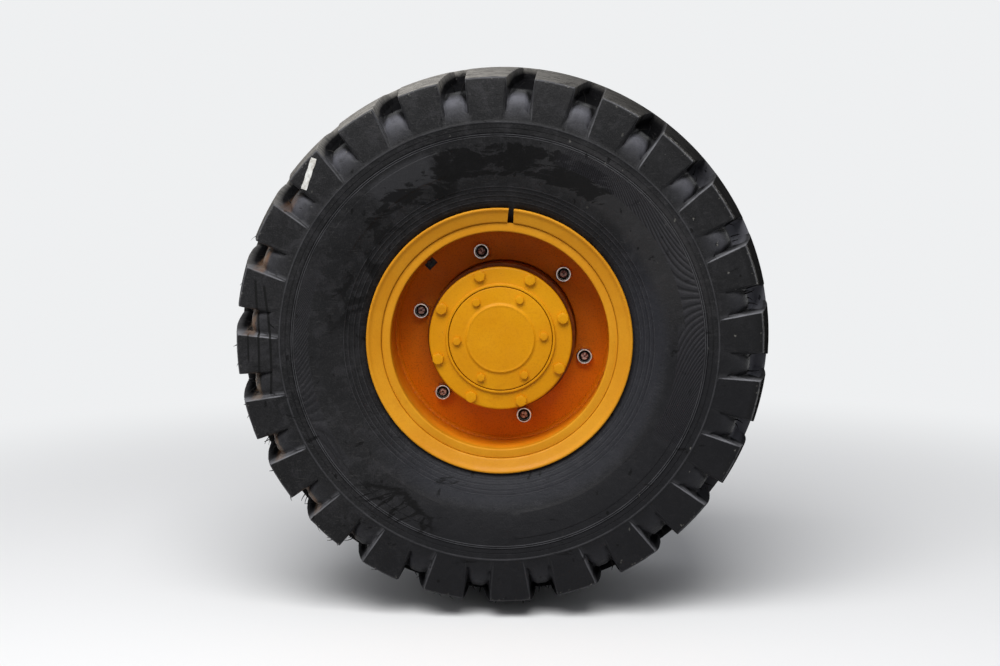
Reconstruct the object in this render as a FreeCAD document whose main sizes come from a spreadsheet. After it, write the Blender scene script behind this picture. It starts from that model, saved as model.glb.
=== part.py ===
import FreeCAD, Part
import math
import os
import re
import Sketcher
from FreeCAD import Placement, Rotation, Vector

# Front wheel of a compact wheel loader on the end of its driven axle.
# The wheel turns about Y and its outer face looks toward -Y. Z is up and the machine drives toward -X.
# The origin is the centre of the bolt flange that joins the axle end to the rest of the axle.
# A station is a distance along Y from the middle plane of the wheel, negative on the outer side.
# A clock angle is measured clockwise from the top, as seen from outside the wheel.

doc = FreeCAD.newDocument("loader_wheel_end")
sheet = doc.addObject("Spreadsheet::Sheet", "Sizes")

# Driving dimensions in millimetres and degrees
SIZES = [
    # Place of the wheel on the axle end, and the three kinds of gap
    ("wheel_offset", 275),
    ("seat_gap", 0.3),
    ("run_gap", 0.05),
    ("turn_gap", 6),
    # Tread, from the crown down to the foot of the lugs
    ("tyre_r", 478),
    ("crown_half", 70),
    ("shoulder_drop", 32),
    ("tread_half", 210),
    ("lug_flare", 9),
    ("lug_side", 74),
    ("tread_depth", 26),
    ("floor_drop", 28),
    ("floor_inset", 20),
    ("floor_corner", 16),
    ("rib_half", 26),
    # Grooves of the tread
    ("groove_count", 24),
    ("groove_clock", 5.1),
    ("groove_mouth", 48),
    ("groove_end", 28),
    # Sidewalls and air chamber
    ("side_tuck", 11),
    ("chamber_inset", 25),
    # Rim, from the seat of the bead
    ("seat_r", 203.2),
    ("rim_half", 165),
    ("rim_wall", 8.7),
    ("flange_height", 25.4),
    ("flange_lip", 20),
    ("flange_tip", 8.2),
    ("heel_rise", 10),
    ("ring_inset", 14),
    ("gutter_lip", 6),
    ("gutter_width", 8),
    ("gutter_depth", 8),
    ("gutter_wall", 7.2),
    ("ring_split", 8),
    ("ring_split_clock", 5.6),
    # Disc, inward from the rim
    ("disc_front", 31),
    ("disc_wall", 14),
    ("disc_width", 63.2),
    ("valve_slot", 17),
    ("valve_inset", 10.2),
    ("valve_clock", 314),
    # Studs and nuts, outward from the bore of the disc
    ("stud_inset", 21.6),
    ("stud_count", 6),
    ("stud_clock", 45.7),
    ("stud_r", 9),
    ("stud_play", 1),
    ("nut_across", 27),
    ("nut_height", 16),
    # Hub
    ("hub_flange_lap", 19.4),
    ("hub_flange", 19.7),
    ("hub_barrel_wall", 52),
    ("hub_back", 112),
    ("gear_room_wall", 26.7),
    ("gear_room", 53.3),
    # Cover of the hub, outward from its face
    ("cover_face", 128),
    ("cover_inset", 5.2),
    ("cover_wall", 34.7),
    ("cover_rim", 29.8),
    ("lip_wall", 4.4),
    ("lip_rise", 4.5),
    ("cover_bolt_inset", 10.5),
    ("cover_bolt_count", 8),
    ("cover_bolt_clock", 26.9),
    ("cover_bolt_across", 18),
    ("cover_bolt_head", 7.5),
    # Cap in the middle of the cover
    ("cap_recess", 6),
    ("cap_rise", 4),
    ("cap_rim", 29),
    ("pad_rise", 3.5),
    ("cap_bolt_inset", 15),
    ("cap_bolt_count", 6),
    ("cap_bolt_clock", 26.8),
    ("cap_bolt_across", 16),
    ("cap_bolt_head", 6.5),
    # Spindle
    ("spindle_r", 46),
    ("spindle_reach", 27),
    ("spindle_step", 15.7),
    ("spindle_root", 40),
    # Brake
    ("drum_room", 34.5),
    ("drum_wall", 10),
    ("drum_depth", 130),
    ("plate_wall", 4),
    ("plate_lap", 24),
    # Axle arm
    ("brake_flange_lap", 34),
    ("brake_flange", 14),
    ("arm_flange_r", 150),
    ("arm_flange", 20),
    ("arm_bore_r", 42),
    ("arm_bolt_inset", 22),
    ("arm_bolt_count", 10),
    ("arm_hole_r", 7),
    ("arm_rib_count", 5),
    ("arm_rib_clock", 18),
    ("arm_rib_wall", 12),
    ("arm_rib_rise", 50),
    ("arm_rib_reach", 75),
    # Half shaft
    ("shaft_r", 19),
    ("shaft_nose", 12),
    ("shaft_reach", 78),
    ("spline_length", 50),
    ("spline_count", 16),
    ("spline_width", 3.6),
    ("spline_depth", 2.4),
]
for row, (alias, value) in enumerate(SIZES, start=1):
    sheet.set("A%d" % row, alias)
    sheet.set("B%d" % row, str(value))
    sheet.setAlias("B%d" % row, alias)
doc.recompute()
NAMES = {alias for alias, value in SIZES}

# Radii that several pieces share
SHOULDER_R = "(tyre_r - shoulder_drop)"
LUG_BASE_R = f"({SHOULDER_R} - lug_side)"
FLOOR_R = "(tyre_r - tread_depth)"
FLOOR_EDGE_R = f"({FLOOR_R} - floor_drop)"
FLANGE_R = "(seat_r + flange_height)"
RIM_INNER_R = "(seat_r - rim_wall)"
DISC_BORE_R = f"({RIM_INNER_R} - seat_gap - disc_width)"
STUD_CIRCLE_R = f"({DISC_BORE_R} + stud_inset)"
PILOT_R = f"({DISC_BORE_R} - seat_gap)"
COVER_R = f"({PILOT_R} - cover_inset)"
LIP_R = f"({COVER_R} - cover_rim)"
CAP_R = f"({LIP_R} - lip_wall - seat_gap)"
BARREL_R = "(spindle_r + run_gap + hub_barrel_wall)"
DRUM_R = f"({RIM_INNER_R} - drum_room)"
NECK_R = "(spindle_r + spindle_step + seat_gap)"

# Stations that several pieces share
SIDE_HALF = "(tread_half + lug_flare)"
RIM_FACE = "(rim_half + flange_lip)"
RING_SEAM = f"({RIM_FACE} - ring_inset)"
GUTTER = f"({RING_SEAM} - gutter_lip)"
DISC_BACK = "(-disc_front + disc_wall)"
HUB_FACE = f"({DISC_BACK} + seat_gap)"
DRUM_SEAT = f"({HUB_FACE} + hub_flange + seat_gap)"
COVER_BACK = "(-cover_face + cover_wall)"
JOURNAL = f"({COVER_BACK} + gear_room)"
DRUM_OPEN = f"({DRUM_SEAT} + drum_depth)"
PLATE = f"({DRUM_OPEN} + turn_gap)"
ARM = f"({PLATE} + plate_wall)"
ARM_FLANGE = "(wheel_offset - arm_flange)"


def bound(text):
    """The expression with each size name read from the sheet."""
    return re.sub(r"[a-z_]+", lambda w: "Sizes." + w.group() if w.group() in NAMES else w.group(), str(text))


def number(text):
    """The plain value of an expression at the present sizes."""
    return float(sheet.evalExpression(bound(text)))


def tie(item, prop, text):
    item.setExpression(prop, bound(text))


def plane_of(body, role):
    return [part for part in body.Origin.OriginFeatures if part.Role == role][0]


def new_body(name, label=None):
    """A body whose own origin stands at the middle of the wheel."""
    body = doc.addObject("PartDesign::Body", name + "_body")
    body.Label = label or name
    tie(body, "Placement.Base.y", "-wheel_offset")
    return body


def clock_turn(angle):
    """Turns the +X side of a part to a clock angle."""
    return Rotation(Vector(0, 1, 0), angle - 90)


def new_sketch(body, name, role="XY_Plane"):
    sketch = body.newObject("Sketcher::SketchObject", name)
    sketch.AttachmentSupport = [(plane_of(body, role), "")]
    sketch.MapMode = "FlatFace"
    return sketch


def section_sketch(body, name, clock="90"):
    """A sketch in the half plane at a clock angle. Its X is the radius and its Y the station."""
    sketch = new_sketch(body, name)
    sketch.AttachmentOffset = Placement(Vector(), clock_turn(number(clock)))
    return sketch


def facing_sketch(body, name, clock, radius, station, tilt=0):
    """A sketch that faces outward at a clock angle. Its X runs clockwise and its Y along the axis."""
    sketch = new_sketch(body, name)
    turn = Rotation(Vector(0, 1, 0), number(clock)) * Rotation(Vector(1, 0, 0), tilt)
    sketch.AttachmentOffset = Placement(Vector(), turn)
    tie(sketch, "AttachmentOffset.Base.x", f"{radius} * sin({clock} * 1deg)")
    tie(sketch, "AttachmentOffset.Base.y", station)
    tie(sketch, "AttachmentOffset.Base.z", f"{radius} * cos({clock} * 1deg)")
    return sketch


def outline(sketch, corners):
    """A closed outline of straight lines between corners in the sketch's own X and Y."""
    places = [Vector(number(across), number(along), 0) for across, along in corners]
    for i, start in enumerate(places):
        sketch.addGeometry(Part.LineSegment(start, places[(i + 1) % len(places)]))
    for i, (across, along) in enumerate(corners):
        sketch.addConstraint(Sketcher.Constraint("Coincident", i, 2, (i + 1) % len(corners), 1))
        for kind, text, value in (("DistanceX", across, places[i].x), ("DistanceY", along, places[i].y)):
            index = sketch.addConstraint(Sketcher.Constraint(kind, -1, 1, i, 1, value))
            tie(sketch, "Constraints[%d]" % index, text)


def spot(sketch, circle_r, clock, radius):
    """A circle at a clock angle on a circle about the wheel axis."""
    across = f"{circle_r} * sin({clock} * 1deg)"
    along = f"{circle_r} * cos({clock} * 1deg)"
    centre = Vector(number(across), number(along), 0)
    sketch.addGeometry(Part.Circle(centre, Vector(0, 0, 1), number(radius)))
    for kind, text, value in (("DistanceX", across, centre.x), ("DistanceY", along, centre.y)):
        index = sketch.addConstraint(Sketcher.Constraint(kind, -1, 1, 0, 3, value))
        tie(sketch, "Constraints[%d]" % index, text)
    index = sketch.addConstraint(Sketcher.Constraint("Radius", 0, number(radius)))
    tie(sketch, "Constraints[%d]" % index, radius)


def feature(body, kind, name, sketch, length=None, middle=False, backward=False):
    """A pad or pocket of a sketch, right through where no length is given."""
    item = body.newObject("PartDesign::" + kind, name)
    item.Profile = sketch
    item.Type = "Length" if length else "ThroughAll"
    if length:
        tie(item, "Length", length)
    item.Midplane = middle
    item.Reversed = backward
    doc.recompute()
    return item


def repeated(body, features, count):
    """The features again all round the wheel axis."""
    pattern = body.newObject("PartDesign::PolarPattern", features[0].Name + "_ring")
    pattern.Originals = features
    pattern.Axis = (plane_of(body, "Y_Axis"), [""])
    pattern.Angle = 360
    tie(pattern, "Occurrences", count)
    body.Tip = pattern
    doc.recompute()


def turned(body, corners):
    """A solid turned about the wheel axis from (radius, station) corners."""
    sketch = section_sketch(body, body.Label + "_section")
    outline(sketch, corners)
    solid = body.newObject("PartDesign::Revolution", body.Label + "_turned")
    solid.Profile = sketch
    solid.ReferenceAxis = (sketch, ["V_Axis"])
    solid.Angle = 360
    doc.recompute()


def mirrored(corners):
    """The same corners on the outer side of the wheel."""
    return [(radius, f"-({station})") for radius, station in corners]


def both_sides(corners):
    """Corners from the outer side of the wheel across to the inner side."""
    return mirrored(corners) + corners[::-1]


def round_holes(body, name, circle_r, hole_r, clock, count):
    sketch = new_sketch(body, name + "_spot", "XZ_Plane")
    spot(sketch, circle_r, clock, hole_r)
    repeated(body, [feature(body, "Pocket", name, sketch, middle=True)], count)


def less_box(body, label, wide, long, high, radius, clock, station):
    """The body less a box that stands on a radius at a clock angle."""
    box = doc.addObject("Part::Box", label + "_gap")
    tie(box, "Length", wide)
    tie(box, "Width", long)
    tie(box, "Height", high)
    turn = f"{clock} * 1deg"
    box.Placement = Placement(Vector(), Rotation(Vector(0, 1, 0), number(clock)))
    tie(box, "Placement.Rotation.Angle", turn)
    tie(box, "Placement.Base.x", f"{radius} * sin({turn}) - {wide} / 2 * cos({turn})")
    tie(box, "Placement.Base.z", f"{radius} * cos({turn}) + {wide} / 2 * sin({turn})")
    tie(box, "Placement.Base.y", f"-wheel_offset + {station}")
    cut = doc.addObject("Part::Cut", label + "_cut")
    cut.Base = body
    cut.Tool = box
    cut.Label = label
    return cut


def tyre():
    """Hollow tyre with straight-sided grooves between its lugs, staggered on the two sides of a middle rib."""
    body = new_body("tyre")
    bead_r = "(seat_r + seat_gap)"
    outside = [
        (bead_r, "rim_half - heel_rise - seat_gap"),
        (f"{FLANGE_R} + seat_gap", f"{RIM_FACE} - flange_tip - 1"),
        (f"({FLANGE_R} + {LUG_BASE_R}) / 2", f"{SIDE_HALF} - side_tuck"),
        (LUG_BASE_R, SIDE_HALF),
        (SHOULDER_R, "tread_half"),
        ("tyre_r", "crown_half"),
    ]
    chamber = [
        (bead_r, "rim_half - chamber_inset"),
        (FLOOR_EDGE_R, "rim_half - chamber_inset"),
    ]
    turned(body, both_sides(outside) + both_sides(chamber)[::-1])

    floor_edge = "(tread_half - floor_inset)"
    slope = math.degrees(math.atan2(number("floor_drop"), number(f"{floor_edge} - rib_half")))
    run = f"sqrt(({floor_edge} - rib_half)^2 + floor_drop^2)"
    for side, facing, clock in (
        ("outer", -1, "groove_clock"),
        ("inner", 1, "(groove_clock + 180 / groove_count)"),
    ):
        floor = facing_sketch(body, side + "_groove_floor", clock, FLOOR_R, f"{facing} * rib_half", -facing * slope)
        outline(floor, [
            (f"{-facing} * groove_mouth / 2", "0"),
            (f"{-facing} * groove_mouth / 2", f"{facing} * ({run} + floor_corner)"),
            (f"{facing} * groove_mouth / 2", f"{facing} * ({run} + floor_corner)"),
            (f"{facing} * groove_mouth / 2", f"{facing} * {run}"),
            (f"{facing} * (groove_end - groove_mouth / 2)", "0"),
        ])
        groove = feature(body, "Pocket", side + "_groove", floor, "tread_depth + floor_drop", backward=True)
        notch_section = section_sketch(body, side + "_notch_section", clock)
        outline(notch_section, [
            (FLOOR_EDGE_R, f"{facing} * {floor_edge}"),
            (f"{FLOOR_EDGE_R} - floor_corner", f"{facing} * ({floor_edge} + floor_corner)"),
            (LUG_BASE_R, f"{facing} * {SIDE_HALF}"),
            (LUG_BASE_R, f"{facing} * ({SIDE_HALF} + floor_corner)"),
            ("tyre_r", f"{facing} * ({SIDE_HALF} + floor_corner)"),
            ("tyre_r", f"{facing} * {floor_edge}"),
        ])
        notch = feature(body, "Pocket", side + "_notch", notch_section, "groove_mouth", middle=True)
        repeated(body, [groove, notch], "groove_count")
    return body


def side_ring():
    """Split ring with the outer flange. Its wedge-shaped toe hooks into the gutter of the rim base."""
    body = new_body("side_ring_whole")
    bottom = "(seat_r + seat_gap)"
    turned(body, mirrored([
        (FLANGE_R, RIM_FACE),
        (bottom, RING_SEAM),
        (bottom, f"{GUTTER} - seat_gap"),
        (f"{bottom} - gutter_depth", f"{GUTTER} - gutter_width / 2"),
        (bottom, f"{GUTTER} - gutter_width + seat_gap"),
        ("seat_r + heel_rise", "rim_half"),
        (FLANGE_R, f"{RIM_FACE} - flange_tip"),
    ]))
    return less_box(body, "side_ring", "ring_split", "2 * flange_lip + gutter_width", "2 * flange_height",
                    "(seat_r - gutter_depth - gutter_wall)", "ring_split_clock", f"(-{RIM_FACE} - gutter_lip)")


def rim_base():
    """Rolled rim base with the gutter at its outer edge and the fixed flange at its inner edge."""
    body = new_body("rim_base")
    lip_r = "(seat_r - gutter_depth - gutter_wall)"
    seat = f"({GUTTER} - gutter_width)"
    turned(body, mirrored([
        (RIM_INNER_R, f"{seat} - gutter_lip"),
        (lip_r, seat),
        (lip_r, RING_SEAM),
        ("seat_r", RING_SEAM),
        ("seat_r", GUTTER),
        ("seat_r - gutter_depth", f"{GUTTER} - gutter_width / 2"),
        ("seat_r", seat),
    ]) + [
        ("seat_r", seat),
        ("seat_r + heel_rise", "rim_half"),
        (FLANGE_R, f"{RIM_FACE} - flange_tip"),
        (FLANGE_R, RIM_FACE),
        (RIM_INNER_R, seat),
    ])
    return body


def wheel_disc():
    """Thick flat disc pressed into the rim base, with a round bore, stud holes and a slot for the valve."""
    body = new_body("wheel_disc_whole")
    edge_r = f"({RIM_INNER_R} - seat_gap)"
    turned(body, [
        (DISC_BORE_R, "-disc_front"),
        (DISC_BORE_R, DISC_BACK),
        (edge_r, DISC_BACK),
        (edge_r, "-disc_front"),
    ])
    round_holes(body, "stud_hole", STUD_CIRCLE_R, "(stud_r + stud_play)", "stud_clock", "stud_count")
    return less_box(body, "wheel_disc", "valve_slot", "3 * disc_wall", "2 * valve_slot",
                    f"({edge_r} - valve_inset - valve_slot / 2)", "valve_clock", "(-disc_front - disc_wall)")


def hexagon(label, count, circle_r, clock, station, across, height):
    """One node of hexagon heads on a circle, each standing outward from a station."""
    heads = []
    for index in range(int(number(count))):
        head = doc.addObject("Part::Prism", "%s_%d" % (label, index + 1))
        head.Polygon = 6
        turn = f"({clock} + {index} * 360 / {count})"
        tie(head, "Circumradius", f"{across} / sqrt(3)")
        tie(head, "Height", height)
        head.Placement = Placement(Vector(), Rotation(Vector(0, 1, 0), number(turn)) * Rotation(Vector(1, 0, 0), 90))
        tie(head, "Placement.Base.x", f"{circle_r} * sin({turn} * 1deg)")
        tie(head, "Placement.Base.z", f"{circle_r} * cos({turn} * 1deg)")
        tie(head, "Placement.Base.y", f"-wheel_offset + {station}")
        heads.append(head)
    ring = doc.addObject("Part::Compound", label + "_ring")
    ring.Links = heads
    ring.Label = label
    return ring


def wheel_nuts():
    return hexagon("wheel_nuts", "stud_count", STUD_CIRCLE_R, "stud_clock", "-disc_front", "nut_across", "nut_height")


def cover_bolts():
    circle_r = f"({COVER_R} - cover_bolt_inset)"
    return hexagon("cover_bolts", "cover_bolt_count", circle_r, "cover_bolt_clock", "-cover_face",
                   "cover_bolt_across", "cover_bolt_head")


def cap_bolts():
    circle_r = f"({CAP_R} - cap_bolt_inset)"
    return hexagon("cap_bolts", "cap_bolt_count", circle_r, "cap_bolt_clock", "(-cover_face - cap_rise)",
                   "cap_bolt_across", "cap_bolt_head")


def hub_shell():
    """Cast hub: a pilot through the disc, a flange behind it with pressed-in studs, and a barrel on the spindle."""
    body = new_body("hub_shell")
    bore_r = "(spindle_r + run_gap)"
    flange_r = f"({STUD_CIRCLE_R} + hub_flange_lap)"
    room_r = f"({PILOT_R} - gear_room_wall)"
    flange_back = f"({HUB_FACE} + hub_flange)"
    turned(body, [
        (room_r, f"{COVER_BACK} + seat_gap"),
        (PILOT_R, f"{COVER_BACK} + seat_gap"),
        (PILOT_R, HUB_FACE),
        (flange_r, HUB_FACE),
        (flange_r, flange_back),
        (BARREL_R, flange_back),
        (BARREL_R, "hub_back"),
        (bore_r, "hub_back"),
        (bore_r, JOURNAL),
        (room_r, JOURNAL),
    ])
    sketch = new_sketch(body, "stud_spot", "XZ_Plane")
    tie(sketch, "AttachmentOffset.Base.z", "disc_front")
    spot(sketch, STUD_CIRCLE_R, "stud_clock", "stud_r")
    stud = feature(body, "Pad", "stud", sketch, "disc_wall + seat_gap", backward=True)
    repeated(body, [stud], "stud_count")
    return body


def hub_cover():
    """Round cover of the hub with a raised lip about the recess for the cap."""
    body = new_body("hub_cover")
    turned(body, mirrored([
        ("0", "cover_face - cap_recess"),
        (f"{CAP_R} + seat_gap", "cover_face - cap_recess"),
        (f"{CAP_R} + seat_gap", "cover_face + lip_rise"),
        (LIP_R, "cover_face + lip_rise"),
        (LIP_R, "cover_face"),
        (COVER_R, "cover_face"),
        (COVER_R, "cover_face - cover_wall"),
        ("0", "cover_face - cover_wall"),
    ]))
    return body


def hub_cap():
    """Small cover in the middle of the hub, with a raised pad inside its ring of bolts."""
    body = new_body("hub_cap")
    turned(body, mirrored([
        ("0", "cover_face + cap_rise + pad_rise"),
        (f"{CAP_R} - cap_rim", "cover_face + cap_rise + pad_rise"),
        (f"{CAP_R} - cap_rim", "cover_face + cap_rise"),
        (CAP_R, "cover_face + cap_rise"),
        (CAP_R, "cover_face - cap_recess + seat_gap"),
        ("0", "cover_face - cap_recess + seat_gap"),
    ]))
    return body


def brake_drum():
    """Drum bolted behind the hub flange, centred on the barrel and open toward the axle."""
    body = new_body("brake_drum")
    turned(body, [
        (f"{BARREL_R} + seat_gap", DRUM_SEAT),
        (DRUM_R, DRUM_SEAT),
        (DRUM_R, DRUM_OPEN),
        (f"{DRUM_R} - drum_wall", DRUM_OPEN),
        (f"{DRUM_R} - drum_wall", f"{DRUM_SEAT} + drum_wall"),
        (f"{BARREL_R} + seat_gap", f"{DRUM_SEAT} + drum_wall"),
    ])
    return body


def backing_plate():
    """Pressed plate that closes the drum, with a rim that laps outside it."""
    body = new_body("backing_plate")
    lap_r = f"({DRUM_R} + turn_gap)"
    turned(body, [
        (NECK_R, PLATE),
        (lap_r, PLATE),
        (lap_r, f"{PLATE} - plate_lap"),
        (f"{lap_r} + plate_wall", f"{PLATE} - plate_lap"),
        (f"{lap_r} + plate_wall", ARM),
        (NECK_R, ARM),
    ])
    return body


def spindle():
    """Hollow spindle: journal of the hub, shoulder through the backing plate, and a root pressed into the arm."""
    body = new_body("spindle")
    turned(body, [
        ("shaft_r + run_gap", f"{JOURNAL} - spindle_reach"),
        ("spindle_r", f"{JOURNAL} - spindle_reach"),
        ("spindle_r", "hub_back + turn_gap"),
        (f"{NECK_R} - seat_gap", "hub_back + turn_gap"),
        (f"{NECK_R} - seat_gap", f"{ARM} - seat_gap"),
        ("spindle_r", f"{ARM} - seat_gap"),
        ("spindle_r", f"{ARM} + spindle_root"),
        ("shaft_r + run_gap", f"{ARM} + spindle_root"),
    ])
    return body


def axle_arm():
    """Cast end of the axle housing: brake flange, neck, and a bolt flange stiffened by ribs."""
    body = new_body("axle_arm")
    turned(body, [
        ("spindle_r + seat_gap", ARM),
        (f"{NECK_R} + brake_flange_lap", ARM),
        (f"{NECK_R} + brake_flange_lap", f"{ARM} + brake_flange"),
        (NECK_R, f"{ARM} + brake_flange"),
        (NECK_R, ARM_FLANGE),
        ("arm_flange_r", ARM_FLANGE),
        ("arm_flange_r", "wheel_offset"),
        ("arm_bore_r", "wheel_offset"),
        ("arm_bore_r", f"{ARM} + spindle_root + seat_gap"),
        ("spindle_r + seat_gap", f"{ARM} + spindle_root + seat_gap"),
    ])
    section = section_sketch(body, "rib_section", "arm_rib_clock")
    outline(section, [
        (f"{NECK_R} - arm_rib_wall / 2", f"{ARM_FLANGE} + arm_flange / 2"),
        (f"{NECK_R} + arm_rib_rise", f"{ARM_FLANGE} + arm_flange / 2"),
        (f"{NECK_R} + arm_rib_rise", ARM_FLANGE),
        (NECK_R, f"{ARM_FLANGE} - arm_rib_reach"),
        (f"{NECK_R} - arm_rib_wall / 2", f"{ARM_FLANGE} - arm_rib_reach"),
    ])
    repeated(body, [feature(body, "Pad", "rib", section, "arm_rib_wall", middle=True)], "arm_rib_count")
    round_holes(body, "bolt_hole", "(arm_flange_r - arm_bolt_inset)", "arm_hole_r", "0", "arm_bolt_count")
    return body


def half_shaft():
    """Driven shaft through the spindle, with its inner splines past the bolt flange."""
    body = new_body("half_shaft")
    end = "(wheel_offset + shaft_reach)"
    nose = f"({JOURNAL} - spindle_reach - shaft_nose)"
    turned(body, [("0", nose), ("shaft_r", nose), ("shaft_r", end), ("0", end)])
    gap = facing_sketch(body, "spline_gap_outline", "0", "(shaft_r - spline_depth)", f"{end} - spline_length")
    outline(gap, [
        ("-spline_width / 2", "0"),
        ("spline_width / 2", "0"),
        ("spline_width / 2", "spline_length + spline_depth"),
        ("-spline_width / 2", "spline_length + spline_depth"),
    ])
    repeated(body, [feature(body, "Pocket", "spline_gap", gap, "2 * spline_depth", backward=True)], "spline_count")
    return body


# Each sub-part, with the number of solids that it holds
PARTS = [
    (tyre(), 1),
    (side_ring(), 1),
    (rim_base(), 1),
    (wheel_disc(), 1),
    (wheel_nuts(), number("stud_count")),
    (hub_shell(), 1),
    (hub_cover(), 1),
    (cover_bolts(), number("cover_bolt_count")),
    (hub_cap(), 1),
    (cap_bolts(), number("cap_bolt_count")),
    (brake_drum(), 1),
    (backing_plate(), 1),
    (spindle(), 1),
    (axle_arm(), 1),
    (half_shaft(), 1),
]
doc.recompute()

for item in doc.Objects:
    if "Invalid" in item.State or "Error" in item.State:
        raise SystemExit("%s failed: %s" % (item.Name, item.State))
os.makedirs("parts", exist_ok=True)
for item, solids in PARTS:
    shape = item.Shape
    if shape.isNull() or not shape.isValid() or len(shape.Solids) != solids:
        raise SystemExit("%s does not hold %d valid solids" % (item.Label, solids))
    shape.exportStep("parts/%s.step" % item.Label)
    print("%-20s %12.0f mm3 %4d faces" % (item.Label, shape.Volume, len(shape.Faces)))
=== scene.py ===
import math
import random

import bmesh
import bpy
from mathutils import Matrix, Vector


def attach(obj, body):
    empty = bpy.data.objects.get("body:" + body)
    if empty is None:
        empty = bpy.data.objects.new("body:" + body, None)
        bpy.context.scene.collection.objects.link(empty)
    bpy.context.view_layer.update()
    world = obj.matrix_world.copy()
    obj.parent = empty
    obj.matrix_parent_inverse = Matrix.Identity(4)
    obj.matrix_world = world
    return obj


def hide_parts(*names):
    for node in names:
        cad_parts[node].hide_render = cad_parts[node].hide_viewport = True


# Front wheel of a compact wheel loader on the end of its driven axle.
# The wheel turns about Y, its outer face looks toward -Y, Z is up, and the machine drives toward -X.
# A station is a distance in millimetres along Y from the wheel's middle plane, negative on the outer side.
# A clock angle is in degrees clockwise from the top, as seen from outside the wheel.

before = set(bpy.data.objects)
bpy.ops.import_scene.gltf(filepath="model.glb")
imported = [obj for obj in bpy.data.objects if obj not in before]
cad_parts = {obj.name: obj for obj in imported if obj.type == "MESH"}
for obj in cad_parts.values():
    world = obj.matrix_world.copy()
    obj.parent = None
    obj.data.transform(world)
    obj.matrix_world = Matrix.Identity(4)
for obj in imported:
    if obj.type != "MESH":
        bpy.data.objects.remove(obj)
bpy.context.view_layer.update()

# ---------------------------------------------------------------- camera
# Standing beside the loader's front wheel, a little above the axle and a little to the right of it.
camera_data = bpy.data.cameras.new("camera")
camera_data.lens = 55.0
camera_data.sensor_width = 36.0
camera = bpy.data.objects.new("camera", camera_data)
camera_right = Vector((0.9987, 0.0499, -0.0053)).normalized()
camera_back = Vector((0.0501, -0.9932, 0.1053)).normalized()
camera_up = camera_back.cross(camera_right).normalized()
camera_right = camera_up.cross(camera_back)
camera.matrix_world = Matrix((
    (camera_right.x, camera_up.x, camera_back.x, 0.1327),
    (camera_right.y, camera_up.y, camera_back.y, -3.0487),
    (camera_right.z, camera_up.z, camera_back.z, 0.2902),
    (0, 0, 0, 1),
))
bpy.context.collection.objects.link(camera)
bpy.context.scene.camera = camera

# ---------------------------------------------------------------- axle arm
# Cast steel end of the axle housing: a flange for the brake, a neck, and a bolt flange with five ribs.
# It is turned and drilled after casting, and painted dark with the rest of the axle.
WHEEL_OFFSET = 275


def on_wheel(radius, clock, station):
    """Point at a radius, a clock angle and a station, in metres."""
    angle = math.radians(clock)
    return (radius * math.sin(angle) / 1000, (station - WHEEL_OFFSET) / 1000, radius * math.cos(angle) / 1000)


def eased(corners, steps=4):
    """Section with its corners (radius, station, easing) drawn as small arcs."""
    section = []
    for index, (radius, station, easing) in enumerate(corners):
        corner = Vector((radius, station))
        if not easing:
            section.append(corner)
            continue
        before = Vector(corners[index - 1][:2]) - corner
        after = Vector(corners[(index + 1) % len(corners)][:2]) - corner
        start = corner + before.normalized() * min(easing, before.length * 0.48)
        end = corner + after.normalized() * min(easing, after.length * 0.48)
        for step in range(steps + 1):
            part = step / steps
            section.append(start * (1 - part) ** 2 + corner * 2 * part * (1 - part) + end * part ** 2)
    return section


def turned(corners, sides=128, steps=4):
    """Closed section of (radius, station, easing) corners turned about the wheel's axis."""
    section = eased(corners, steps)
    points = [on_wheel(radius, 360 * k / sides, station) for radius, station in section for k in range(sides)]
    faces = []
    for row in range(len(section)):
        after = (row + 1) % len(section)
        for k in range(sides):
            m = (k + 1) % sides
            faces.append((row * sides + k, row * sides + m, after * sides + m, after * sides + k))
    return points, faces


def joined(shapes):
    """Several shapes as one list of points and one list of faces."""
    points, faces = [], []
    for more_points, more_faces in shapes:
        start = len(points)
        points += more_points
        faces += [tuple(start + corner for corner in face) for face in more_faces]
    return points, faces


def shaped(name, shape, finish=None, sharp=32, marks=None):
    """Object of a closed shape, smooth but for its sharp edges, with any named marks on its points."""
    mesh = bpy.data.meshes.new(name)
    mesh.from_pydata(shape[0], [], shape[1])
    for mark, values in (marks or {}).items():
        mesh.attributes.new(mark, "FLOAT", "POINT").data.foreach_set("value", values)
    work = bmesh.new()
    work.from_mesh(mesh)
    bmesh.ops.remove_doubles(work, verts=work.verts, dist=1e-6)
    bmesh.ops.dissolve_degenerate(work, edges=work.edges, dist=1e-7)
    bmesh.ops.recalc_face_normals(work, faces=work.faces)
    work.to_mesh(mesh)
    work.free()
    mesh.polygons.foreach_set("use_smooth", [True] * len(mesh.polygons))
    mesh.set_sharp_from_angle(angle=math.radians(sharp))
    if finish:
        mesh.materials.append(finish)
    piece = bpy.data.objects.new(name, mesh)
    bpy.context.collection.objects.link(piece)
    return piece


def combine(piece, shape, operation, sharp=32):
    """Cut a shape out of a piece, or fuse it on."""
    tool = shaped("tool", shape)
    modifier = piece.modifiers.new("combine", "BOOLEAN")
    modifier.operation = operation
    modifier.solver = "EXACT"
    modifier.object = tool
    evaluated = piece.evaluated_get(bpy.context.evaluated_depsgraph_get())
    mesh = bpy.data.meshes.new_from_object(evaluated)
    piece.modifiers.clear()
    finish = piece.data.materials[0] if piece.data.materials else None
    piece.data = mesh
    mesh.materials.clear()
    if finish:
        mesh.materials.append(finish)
    mesh.polygons.foreach_set("material_index", [0] * len(mesh.polygons))
    mesh.polygons.foreach_set("use_smooth", [True] * len(mesh.polygons))
    mesh.set_sharp_from_angle(angle=math.radians(sharp))
    bpy.data.objects.remove(tool)


def fitted(piece, body, slot, *nodes):
    """Fix a piece to its body and hide the solids that it stands for. The slot is not used."""
    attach(piece, body)
    if nodes:
        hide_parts(*nodes)


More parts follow.
